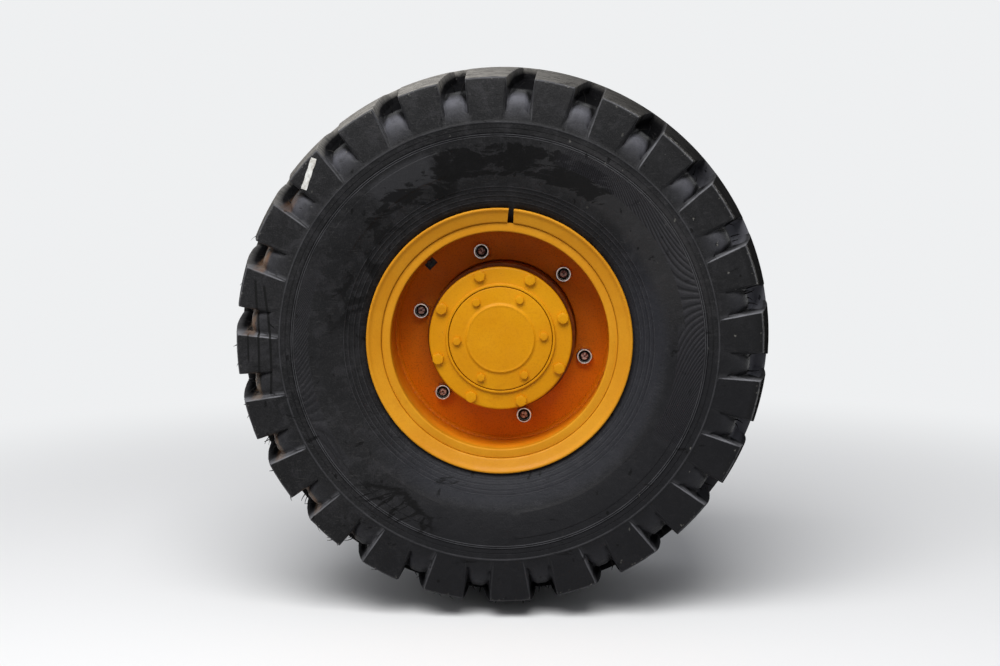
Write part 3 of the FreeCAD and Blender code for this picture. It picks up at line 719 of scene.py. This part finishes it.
# Rubber with cloudy dust, a fine grain, a painted cool reflection on the bead, and a painted highlight where the
# grooves roll over to the side
grain = cloudy(tyre_rubber, where, 60, 8, 0.75)
fine_grain = cloudy(tyre_rubber, where, 420, 5, 0.7)
tone = mixed(tyre_rubber, band(tyre_rubber, cloudy(tyre_rubber, where, 6, 6, 0.62), 0.35, 0.7),
             (0.0058, 0.0058, 0.0066), (0.0122, 0.0120, 0.0130))
tone = mixed(tyre_rubber, band(tyre_rubber, cloudy(tyre_rubber, where, 38, 8, 0.72, 0.6), 0.47, 0.66, 0, 0.8), tone,
             (0.0235, 0.0229, 0.0252))
scratch = put(tyre_rubber, "Mapping", {"Vector": where, "Scale": (60, 60, 420), "Rotation": (0, 0.5, 0)})
tone = mixed(tyre_rubber, band(tyre_rubber, cloudy(tyre_rubber, scratch, 1.0, 4, 0.6), 0.60, 0.70, 0, 0.5), tone,
             (0.042, 0.041, 0.041))
tone = mixed(tyre_rubber, band(tyre_rubber, fine_grain, 0.5, 0.68, 0, 0.55), tone, (0.034, 0.033, 0.033))
tone = mixed(tyre_rubber, band(tyre_rubber, fine_grain, 0.48, 0.36, 0, 0.6), tone, (0.004, 0.004, 0.004))
# Painted reflection: a cool bluish tone on the bead zone at the right and bottom.
tone = mixed(tyre_rubber, times(rubber_field(140, 100, 180, 300, 30, 40), 0.5), tone, (0.026, 0.027, 0.034))
tone = mixed(tyre_rubber, times(rubber_field(48, 44, 270, 372, 20, 25), 0.5), tone, (0.034, 0.033, 0.034))
tone = mixed(tyre_rubber, times(rubber_field(150, 75, 285, 480, 10, 30), 0.75), tone, (0.007, 0.007, 0.0085))
# Painted shade: the outer tread band on the right is darker.
tone = mixed(tyre_rubber, times(rubber_field(62, 44, 376, 480, 8, 20), 0.4), tone, (0.007, 0.007, 0.0075))
tone = mixed(tyre_rubber, times(rubber_field(330, 12, 284, 346, 8, 4), 0.6), tone, (0.034, 0.034, 0.037))
# Painted shade: deep in the grooves the rubber turns nearly black.
deep = times(mark("groove"), band(tyre_rubber, station, -198, -186), band(tyre_rubber, station, 198, 186))
tone = mixed(tyre_rubber, times(deep, 0.75), tone, (0.006, 0.006, 0.0065))
# Painted light: the far walls of the grooves on the right are lightened where the sky would reach them.
far_wall_light = times(mark("far"), band(tyre_rubber, station, -168, -150), rubber_field(90, 50, 390, 490, 8, 30))
tone = mixed(tyre_rubber, times(far_wall_light, 0.9), tone, (0.17, 0.17, 0.19))
around_right = rubber_field(72, 58, 430, 490, 8, 25)
# Painted shade: the tread on the right, off the far walls of the grooves, is darker.
tone = mixed(tyre_rubber, times(around_right, band(tyre_rubber, station, -213, -211), band(tyre_rubber, station, 213, 211),
                                band(tyre_rubber, mark("far"), 0.6, 0.3), 0.85), tone, (0.005, 0.005, 0.0055))
worn_line = times(band(tyre_rubber, radius, 445, 446), band(tyre_rubber, radius, 451, 449), around_right,
                  band(tyre_rubber, station, -188, -192), band(tyre_rubber, cloudy(tyre_rubber, where, 240, 7, 0.8), 0.50, 0.55),
                  band(tyre_rubber, mark("groove"), 0.3, 0.1))
tone = mixed(tyre_rubber, times(worn_line, 0.9), tone, (0.22, 0.215, 0.20))
# Painted highlight, bluish like a reflection of the sky, on the crests of the groove floors.
crest_highlight = times(mark("crest"), band(tyre_rubber, grain, 0.22, 0.6, 0.35, 1))
tone = mixed(tyre_rubber, crest_highlight, tone, (0.105, 0.105, 0.120))
# Painted highlight along edges by their edge mark, lighter and bluish; where the mark is fixed it is a plain lighter
# line.
tone = mixed(tyre_rubber, times(mark("edge"), band(tyre_rubber, cloudy(tyre_rubber, where, 30, 6), 0.3, 0.6, 0.45, 1)),
             tone, (0.20, 0.20, 0.215))
# Water smudges, splashes and cracks in the film of dirt on the side
stroke = cloudy(tyre_rubber, where, 11, 9, 0.66, 1.2)
streak = put(tyre_rubber, "Mapping", {"Vector": where, "Scale": (10, 10, 26), "Rotation": (0, 0.35, 0)})
splash = cloudy(tyre_rubber, streak, 1.6, 9, 0.72, 0.8)
outer_side = band(tyre_rubber, station, -100, -130)
wet = either(rubber_field(8, 38, 274, 346, 14, 16), times(rubber_field(322, 20, 272, 318, 16, 12), 0.9))
wet = calc(tyre_rubber, "MULTIPLY_ADD", wet, 0.26, splash)
wet = calc(tyre_rubber, "MULTIPLY_ADD", grain, 0.16, wet)
smudge = either(times(band(tyre_rubber, wet, 0.755, 0.80), outer_side, band(tyre_rubber, radius, 270, 280), band(tyre_rubber, radius, 347, 345)),
                times(band(tyre_rubber, stroke, 0.55, 0.60), rubber_field(310, 40, 255, 300, 10), outer_side),
                times(band(tyre_rubber, splash, 0.62, 0.65), band(tyre_rubber, radius, 430, 410)))
warped = put(tyre_rubber, "MixRGB", {0: 0.06, 1: where, 2: cloudy(tyre_rubber, where, 26, 5, 0.7)})
crack = put(tyre_rubber, "TexVoronoi", {"Vector": warped, "Scale": 25}, feature="DISTANCE_TO_EDGE")
cracks = times(band(tyre_rubber, crack, 0.11, 0.07), band(tyre_rubber, stroke, 0.40, 0.44),
               outer_side, rubber_field(298, 26, 232, 300, 12), 0.8)
off_stain = calc(tyre_rubber, "WRAP", calc(tyre_rubber, "SUBTRACT", around, math.radians(212)), math.pi, -math.pi)
past_arch = calc(tyre_rubber, "SUBTRACT", radius, calc(tyre_rubber, "MULTIPLY_ADD", times(off_stain, off_stain), 657, 308))
off_stain = calc(tyre_rubber, "ABSOLUTE", off_stain)
ragged = calc(tyre_rubber, "MULTIPLY_ADD", splash, 60, calc(tyre_rubber, "ADD", past_arch, -30))
arch = times(band(tyre_rubber, calc(tyre_rubber, "ABSOLUTE", ragged), 8, 2), band(tyre_rubber, off_stain, 0.27, 0.16))
dribble = calc(tyre_rubber, "MULTIPLY_ADD", radius, -0.0017, around)
dribble = put(tyre_rubber, "CombineXYZ", {0: times(dribble, 13), 1: times(radius, 0.009), 2: times(grain, 0.35)})
dribble = put(tyre_rubber, "TexNoise", {"Vector": dribble, "Scale": 1.0, "Detail": 3.0, "Roughness": 0.5})
dribble = calc(tyre_rubber, "ABSOLUTE", calc(tyre_rubber, "SUBTRACT", dribble, 0.5))
dribbles = times(band(tyre_rubber, dribble, 0.036, 0.02), band(tyre_rubber, past_arch, -3, 3),
                 band(tyre_rubber, radius, 362, 345), band(tyre_rubber, off_stain, 0.24, 0.17), outer_side)
lines = []
for across, drift, top_z, low_z, half in ((-0.4105, 3, 0.115, -0.095, 0.0018), (-0.3955, 9, 0.105, -0.092, 0.0019),
                                          (-0.428, 2, 0.045, -0.035, 0.0013)):
    middle = calc(tyre_rubber, "MULTIPLY_ADD", calc(tyre_rubber, "SINE", calc(tyre_rubber, "MULTIPLY_ADD", z, 13, -1.2)),
                  -drift / 1000, across)
    away = calc(tyre_rubber, "ABSOLUTE", calc(tyre_rubber, "SUBTRACT", x, middle))
    lines.append(times(band(tyre_rubber, away, half + 0.0005, half), band(tyre_rubber, z, low_z, low_z + 0.01),
                       band(tyre_rubber, z, top_z, top_z - 0.01), band(tyre_rubber, station, -190, -200)))
smudge = either(smudge, cracks, times(arch, outer_side), dribbles, times(specks(52, 0.16, 0.22, 0.5), 0.9), specks(24, 0.075, 0.35))
tone = mixed(tyre_rubber, times(smudge, 0.8), tone, (0.0022, 0.0021, 0.0021))
tone = mixed(tyre_rubber, times(either(*lines), 0.95), tone, (0.0012, 0.0012, 0.0012))
scuff = times(specks(70, 0.14, 0.2, 0.6), band(tyre_rubber, radius, 300, 400, 0.25, 1), rubber_field(50, 120, 250, 470, 20, 40))
scuff = either(scuff, times(specks(190, 0.3, 0.5), band(tyre_rubber, radius, 438, 444), band(tyre_rubber, station, -196, -204)))
tone = mixed(tyre_rubber, times(scuff, 0.7), tone, (0.16, 0.155, 0.14))
# Grey dust on the running surface, heaviest where the tread faces up, where it is also a painted reflection of the sky;
# brown mud in the grooves on the left
flow = put(tyre_rubber, "Mapping", {"Vector": where, "Scale": (30, 150, 30)})
dust = times(mark("running"), band(tyre_rubber, cloudy(tyre_rubber, flow, 1.5, 9, 0.8), 0.36, 0.56, 0.1, 1))
tone = mixed(tyre_rubber, dust, tone, (0.32, 0.305, 0.28))
tone = mixed(tyre_rubber, times(mark("running"), band(tyre_rubber, cloudy(tyre_rubber, flow, 4, 6, 0.7), 0.57, 0.66, 0, 0.7)), tone,
             (0.012, 0.011, 0.010))
mud = times(mark("groove"), band(tyre_rubber, grain, 0.38, 0.50), rubber_field(262, 48, 412, 441, 8, 14))
tone = mixed(tyre_rubber, times(mud, 0.85), tone, mixed(tyre_rubber, band(tyre_rubber, stroke, 0.4, 0.6), (0.22, 0.16, 0.115),
                                                        (0.19, 0.10, 0.055)))
# Fine ribs that fan out over the fields of the sidewall
way = calc(tyre_rubber, "SIGN", x)
x_mm = times(calc(tyre_rubber, "ABSOLUTE", x), 1000)
z_mm = calc(tyre_rubber, "MULTIPLY_ADD", calc(tyre_rubber, "LESS_THAN", x, 0.0), -55, times(z, way, 1000))
lifted_z = calc(tyre_rubber, "SUBTRACT", z_mm, 40)
fan = times(x_mm, calc(tyre_rubber, "SUBTRACT", z_mm, 80), 0.0097)
fan = calc(tyre_rubber, "ADD", fan, times(z_mm, -2.68))
fan = calc(tyre_rubber, "ADD", fan, times(lifted_z, lifted_z, lifted_z, 0.0000097))
fan = calc(tyre_rubber, "SINE", fan)
field = either(rubber_field(57, 41, 315, 348, 2, 6), rubber_field(103, 20, 302, 348, 3, 5),
               times(rubber_field(262, 34, 322, 348, 3, 8), 0.6))
fan = times(fan, field)
tone = mixed(tyre_rubber, times(field, 0.35), tone, (0.037, 0.036, 0.042))
tone = mixed(tyre_rubber, band(tyre_rubber, fan, -0.1, -0.9, 0, 0.7), tone, (0.004, 0.004, 0.0045))
fine = raised(tyre_rubber, fine_grain, 0.0006)
fine = raised(tyre_rubber, grain, 0.0014, fine)
rough = calc(tyre_rubber, "MULTIPLY_ADD", smudge, -0.12, 0.45)
rough = calc(tyre_rubber, "MULTIPLY_ADD", band(tyre_rubber, radius, 262, 240), -0.05, rough)
on_tread = times(band(tyre_rubber, calc(tyre_rubber, "ABSOLUTE", station), 210, 206), band(tyre_rubber, radius, 424, 432))
sheen = calc(tyre_rubber, "MULTIPLY", band(tyre_rubber, on_tread, 0, 1, 0.13, 0.0),
             band(tyre_rubber, smudge, 0, 1, 1, 0.66))
shade(tyre_rubber, Base_Color=tone, Normal=raised(tyre_rubber, fan, 0.0005, fine), Roughness=rough,
      Specular_IOR_Level=sheen)

tyre = shaped("tyre_moulding", (tyre_points, tyre_faces), tyre_rubber, 34, tyre_marks)
fitted(tyre, "wheel", "tyre_rubber", "tyre")

# Torn moulding flash: thin rubber hairs that stand in the grooves near the shoulders and at the edges of the lugs.
random.seed(21)
hairs = []
for lug in range(LUGS):
    for side in (-1, 1):
        middle = GROOVE_CLOCK + PITCH * lug + (PITCH / 2 if side > 0 else 0)
        few = upward(middle, 0) > 0.45 or upward(middle, 1) < -0.3
        for n in range(random.randint(2, 4) if few else random.randint(5, 9)):
            in_groove = n < 4
            station = side * (random.uniform(110, 170) if in_groove and upward(middle, 0) > 0.3 else random.uniform(168, 192))
            clock = middle + (random.uniform(-2.7, 2.7) if in_groove else random.uniform(3.4, 11.4))
            start_r = (groove_floor(abs(station)) if in_groove else crown(abs(station))) - 2
            reach = random.uniform(8, 19) if in_groove else random.uniform(4, 8)
            lean, drift = random.uniform(-1.5, 1.5), random.uniform(-9, 9)
            rings_of_hair = []
            for step in range(5):
                part = step / 4
                r = start_r + reach * part
                centre = Vector(on_wheel(r, clock + lean * part * part, station + drift * part))
                out = Vector(on_wheel(r + 1, clock, station)) - Vector(on_wheel(r, clock, station))
                one = Vector((0, 1, 0))
                two = out.cross(one).normalized()
                thick = (1.4 - 0.9 * part) / 1000
                rings_of_hair.append([centre + (one * math.cos(math.tau * q / 6) + two * math.sin(math.tau * q / 6)) * thick
                                      for q in range(6)])
            hairs.append(lofted(rings_of_hair))
flash_rubber = new_finish("flash_rubber", (0.008, 0.008, 0.009), 0.7, Specular_IOR_Level=0.04)
shade(flash_rubber, Base_Color=mixed(flash_rubber, band(flash_rubber, cloudy(flash_rubber, place(flash_rubber), 60, 4), 0.4, 0.7),
                                     (0.006, 0.006, 0.007), (0.03, 0.028, 0.026)))
hair_piece = shaped("flash_hairs", joined(hairs), flash_rubber)
fitted(hair_piece, "wheel", "tyre_rubber")

# ---------------------------------------------------------------- side ring
# Split steel ring with the outer flange, sprung into the gutter of the rim base after the tyre is on.
# The gap at its split and the seam against the rim base show as dark lines in the paint.
side_ring = shaped("side_ring_split", turned([
    (228.6, -182.4, 1), (227.6, -184.6, 0.8), (226, -185, 0.6), (224, -184.4, 1), (220.4, -181.2, 3), (215, -179, 4),
    (205.2, -175.4, 1.2), (203.6, -174, 0.6), (203.5, -165.3, 0), (195.5, -161, 1), (203.5, -156.7, 0), (213.2, -165, 3), (228.6, -176.8, 3),
], sides=192), rim_paint)
ring_side = Vector((math.cos(math.radians(5.6)), 0, -math.sin(math.radians(5.6)))) / 1000
split_rings = []
for station in (-200, -140):
    split_rings.append([Vector(on_wheel(r, 5.6, station)) + ring_side * across
                        for r, across in ((180, -6.2), (180, 6.2), (240, 4), (240, -4))])
combine(side_ring, lofted(split_rings), "DIFFERENCE")
fitted(side_ring, "wheel", "rim_paint", "side_ring")

# ---------------------------------------------------------------- wheel nuts
# Six zinc-plated steel nuts with a coned mouth, in which the end of each stud shows.
zinc = new_finish("zinc", (0.75, 0.74, 0.72), 0.32, Metallic=1.0)
where = place(zinc)
shade(zinc, Base_Color=mixed(zinc, band(zinc, cloudy(zinc, where, 160, 5), 0.4, 0.7), (0.80, 0.78, 0.75), (0.55, 0.50, 0.46)),
      Roughness=band(zinc, cloudy(zinc, where, 400, 3), 0.3, 0.7, 0.25, 0.5),
      Normal=raised(zinc, cloudy(zinc, where, 900, 2), 0.0001))


def nut(clock, turn):
    """Hexagon nut with a washer face, cut-back corners and a coned mouth down to the stud."""
    rings = []
    sides = 36
    for level, reach in ((0, 0), (0, 13.2), (1.2, 13.4), (1.4, 20), (11.5, 20), (14.4, 14.0), (15.6, 13.3), (16, 12.7),
                         (16, 11.5), (15.6, 11.0), (15, 10.8), (4, 10.4), (4, 0)):
        ring = []
        for k in range(sides):
            bearing = 360 * k / sides
            flat = 13.5 / math.cos(math.radians((bearing + 30) % 60 - 30))
            ring.append((min(flat, reach), bearing + turn, level))
        rings.append(ring)
    centre = on_wheel(152.6, clock, -31)
    return lofted([[(centre[0] + r / 1000 * math.sin(math.radians(b)), centre[1] - level / 1000,
                     centre[2] + r / 1000 * math.cos(math.radians(b))) for r, b, level in ring]
                   for ring in rings])


random.seed(7)
nut_turns = [random.uniform(0, 60) for k in range(6)]
nuts = shaped("wheel_nuts_plated", joined([nut(45.7 + 60 * k, nut_turns[k]) for k in range(6)]), zinc)
fitted(nuts, "wheel", "zinc", "wheel_nuts")

# Stud ends: rolled thread with a chamfered tip, reddish from primer, with a painted pale glint on the tip. The stud's
# near-black thread and wide foot fill the bottom of each nut's mouth as painted shade.
stud_steel = new_finish("stud_steel", (0.02, 0.016, 0.015), 0.4, Specular_IOR_Level=0.3)
where = place(stud_steel)
tip = put(stud_steel, "Attribute", {}, output=2, attribute_name="tip")
tip_colour = mixed(stud_steel, band(stud_steel, cloudy(stud_steel, where, 230, 4), 0.45, 0.56), (0.66, 0.47, 0.42),
                   (0.15, 0.028, 0.018))
shade(stud_steel, Base_Color=mixed(stud_steel, tip, (0.006, 0.005, 0.005), tip_colour),
      Roughness=band(stud_steel, tip, 0, 1, 0.6, 0.3),
      Normal=raised(stud_steel, cloudy(stud_steel, where, 500, 2), 0.0008))
studs, tips = [], []
for k in range(6):
    centre = on_wheel(152.6, 45.7 + 60 * k, -35.2)
    rings = []
    for level, r, tipped in ((0, 10.2, 0), (0.6, 10.2, 0), (1.2, 9.6, 0), (2, 8.4, 0), (2.4, 7.4, 0), (5.4, 7.2, 0), (6.2, 6.4, 0.4),
                             (6.6, 5.6, 1), (6.9, 4.2, 1), (6.9, 2.2, 1), (6.3, 1.3, 0.3), (6.3, 0, 0.3)):
        rings.append([(centre[0] + r / 1000 * math.sin(math.tau * n / 24), centre[1] - level / 1000,
                       centre[2] + r / 1000 * math.cos(math.tau * n / 24)) for n in range(24)])
        tips += [tipped] * 24
    studs.append(lofted(rings))
stud_ends = shaped("stud_ends", joined(studs), stud_steel, marks={"tip": tips})
fitted(stud_ends, "wheel", "zinc")

# ---------------------------------------------------------------- hub cover
# Cast cover of the hub, with a raised lip about the recess for its cap.
cover = shaped("hub_cover_casting", turned([
    (0, -122, 0), (91.5, -122, 0.5), (91.5, -132.5, 1), (95.7, -132.5, 1.6), (95.7, -128, 1.5), (125.5, -128, 4.5),
    (125.5, -93.3, 1), (0, -93.3, 0),
], sides=160), hub_paint)
fitted(cover, "wheel", "hub_paint", "hub_cover")

# Eight painted screws hold the cover.
cover_bolts = shaped("cover_screws", joined([
    hex_head(115, 26.9 + 45 * k, -128, 18, 7.5, turn=17 * k, chamfer=0.22) for k in range(8)]), hub_paint, 30)
fitted(cover_bolts, "wheel", "hub_paint", "cover_bolts")

# ---------------------------------------------------------------- hub cap
# Small cover in the middle, with a raised round pad that is left bare.
cap = shaped("hub_cap_casting", turned([
    (0, -134.4, 0), (55.5, -134.4, 2), (58.5, -135.2, 1.5), (62, -132, 2.6), (90.2, -132, 1.6), (90.2, -121.7, 0.5),
    (0, -121.7, 0),
], sides=160), hub_paint)
fitted(cap, "wheel", "hub_paint", "hub_cap")
cap_bolts = shaped("cap_screws", joined([
    hex_head(76, 26.8 + 60 * k, -132, 13, 5.6, turn=23 * k, chamfer=0.22) for k in range(6)]), hub_paint, 30)
fitted(cap_bolts, "wheel", "hub_paint", "cap_bolts")

# ---------------------------------------------------------------- tape scrap
# A torn end of white wrapping tape that is still stuck on one lug.
white_tape = new_finish("white_tape", (0.62, 0.62, 0.60), 0.5)
where = place(white_tape)
shade(white_tape, Base_Color=mixed(white_tape, band(white_tape, cloudy(white_tape, where, 120, 5), 0.4, 0.65),
                                   (0.66, 0.66, 0.63), (0.42, 0.40, 0.36)),
      Normal=raised(white_tape, cloudy(white_tape, where, 90, 4), 0.002))
tape_points, tape_faces = [], []
tape_low, tape_high = Vector((-0.3255, 0, 0.2615)), Vector((-0.3075, 0, 0.3135))
tape_across = (tape_high - tape_low).cross(Vector((0, 1, 0))).normalized()
for row in range(13):
    part = row / 12
    middle = tape_low.lerp(tape_high, part)
    half = 4.9 + 0.35 * math.sin(part * 17)
    for column in range(5):
        spot = middle + tape_across * (column / 2 - 1) * half / 1000
        r = 1000 * math.hypot(spot.x, spot.z)
        base = 210.9 + (446 - min(r, 444)) * 0.097
        for lift in (0.2, 0.9 + 0.5 * math.sin(part * 21 + column * 2)):
            tape_points.append((spot.x, (-(base + lift) - WHEEL_OFFSET) / 1000, spot.z))
for row in range(12):
    for column in range(4):
        a = (row * 5 + column) * 2
        b, c, d = a + 2, a + 12, a + 10
        tape_faces += [(a, b, c, d), (a + 1, d + 1, c + 1, b + 1)]
        if row == 0:
            tape_faces.append((a, a + 1, b + 1, b))
        if row == 11:
            tape_faces.append((d, c, c + 1, d + 1))
    for column in (0, 4):
        a = (row * 5 + column) * 2
        tape_faces.append((a, a + 10, a + 11, a + 1))
tape = shaped("tape_scrap", (tape_points, tape_faces), white_tape, 60)
fitted(tape, "wheel", "tyre_rubber")

# ---------------------------------------------------------------- floor, backdrop and light
# Plain pale floor that runs out into a pale backdrop, a large soft lamp above the front and a weaker one at the left.
BACKDROP = (0.86, 0.87, 0.88, 1)
ground = bpy.data.meshes.new("floor")
rings = []
for reach in (0, 1.2, 2.4, 12):
    rings.append([(reach * math.cos(math.tau * n / 64), reach * math.sin(math.tau * n / 64), -0.478) for n in range(64)])
floor_points = [(0, 0, -0.478)] + [point for ring in rings[1:] for point in ring]
floor_faces = [(0, 1 + n, 1 + (n + 1) % 64) for n in range(64)]
for row in range(2):
    for n in range(64):
        m = (n + 1) % 64
        floor_faces.append((1 + row * 64 + n, 65 + row * 64 + n, 65 + row * 64 + m, 1 + row * 64 + m))
ground.from_pydata(floor_points, [], floor_faces)
floor_finish = new_finish("floor_finish", (0.62, 0.62, 0.62), 0.9, Specular_IOR_Level=0.1)
ground.materials.append(floor_finish)
floor_paths = floor_finish.node_tree.nodes.new("ShaderNodeLightPath")
floor_seen = calc(floor_finish, "MAXIMUM", floor_paths.outputs["Is Camera Ray"], calc(
    floor_finish, "MAXIMUM", floor_paths.outputs["Is Glossy Ray"], floor_paths.outputs["Is Transmission Ray"]))
shade(floor_finish, Base_Color=mixed(floor_finish, floor_seen, (0.34, 0.34, 0.34), (0.86, 0.86, 0.86)))
floor_place = put(floor_finish, "TexCoord", {}, output="Object")
away = put(floor_finish, "VectorMath", {0: floor_place}, output=1, operation="LENGTH")
glow = put(floor_finish, "Emission", {"Color": BACKDROP, "Strength": 1.0})
amount = calc(floor_finish, "MULTIPLY", band(floor_finish, away, 0.7, 2.4), floor_seen)
shader_out = floor_finish.node_tree.nodes["Principled BSDF"].outputs[0]
both = put(floor_finish, "MixShader", {0: amount, 1: shader_out, 2: glow})
floor_finish.node_tree.links.new(both, floor_finish.node_tree.nodes["Material Output"].inputs["Surface"])
floor_object = bpy.data.objects.new("floor", ground)
bpy.context.collection.objects.link(floor_object)

world = bpy.data.worlds.new("world")
bpy.context.scene.world = world
world.use_nodes = True
links = world.node_tree.links
light_path = world.node_tree.nodes.new("ShaderNodeLightPath")
sky = world.node_tree.nodes["Background"]
sky.inputs["Color"].default_value = (0.93, 0.95, 1.0, 1)
sky.inputs["Strength"].default_value = 0.30
backdrop = world.node_tree.nodes.new("ShaderNodeBackground")
backdrop.inputs["Color"].default_value = BACKDROP
backdrop.inputs["Strength"].default_value = 1.0
choice = world.node_tree.nodes.new("ShaderNodeMixShader")
seen = light_path.outputs["Is Camera Ray"]
for kind in ("Is Glossy Ray", "Is Transmission Ray"):
    most = world.node_tree.nodes.new("ShaderNodeMath")
    most.operation = "MAXIMUM"
    links.new(seen, most.inputs[0])
    links.new(light_path.outputs[kind], most.inputs[1])
    seen = most.outputs[0]
links.new(seen, choice.inputs[0])
links.new(sky.outputs[0], choice.inputs[1])
links.new(backdrop.outputs[0], choice.inputs[2])
links.new(choice.outputs[0], world.node_tree.nodes["World Output"].inputs["Surface"])


def lamp(name, where_from, aimed_at, size, power):
    light = bpy.data.lights.new(name, "AREA")
    light.shape = "RECTANGLE"
    light.size, light.size_y = size
    light.energy = power
    holder = bpy.data.objects.new(name, light)
    direction = Vector(aimed_at) - Vector(where_from)
    holder.rotation_euler = direction.to_track_quat("-Z", "Y").to_euler()
    holder.location = where_from
    bpy.context.collection.objects.link(holder)


lamp("overhead", (-0.35, -2.5, 2.9), (0, -0.35, 0), (3.4, 2.4), 170)
lamp("left_fill", (-2.6, -2.6, 1.2), (0, -0.3, 0), (1.6, 1.6), 8)

bpy.context.scene.view_settings.view_transform = "Standard"
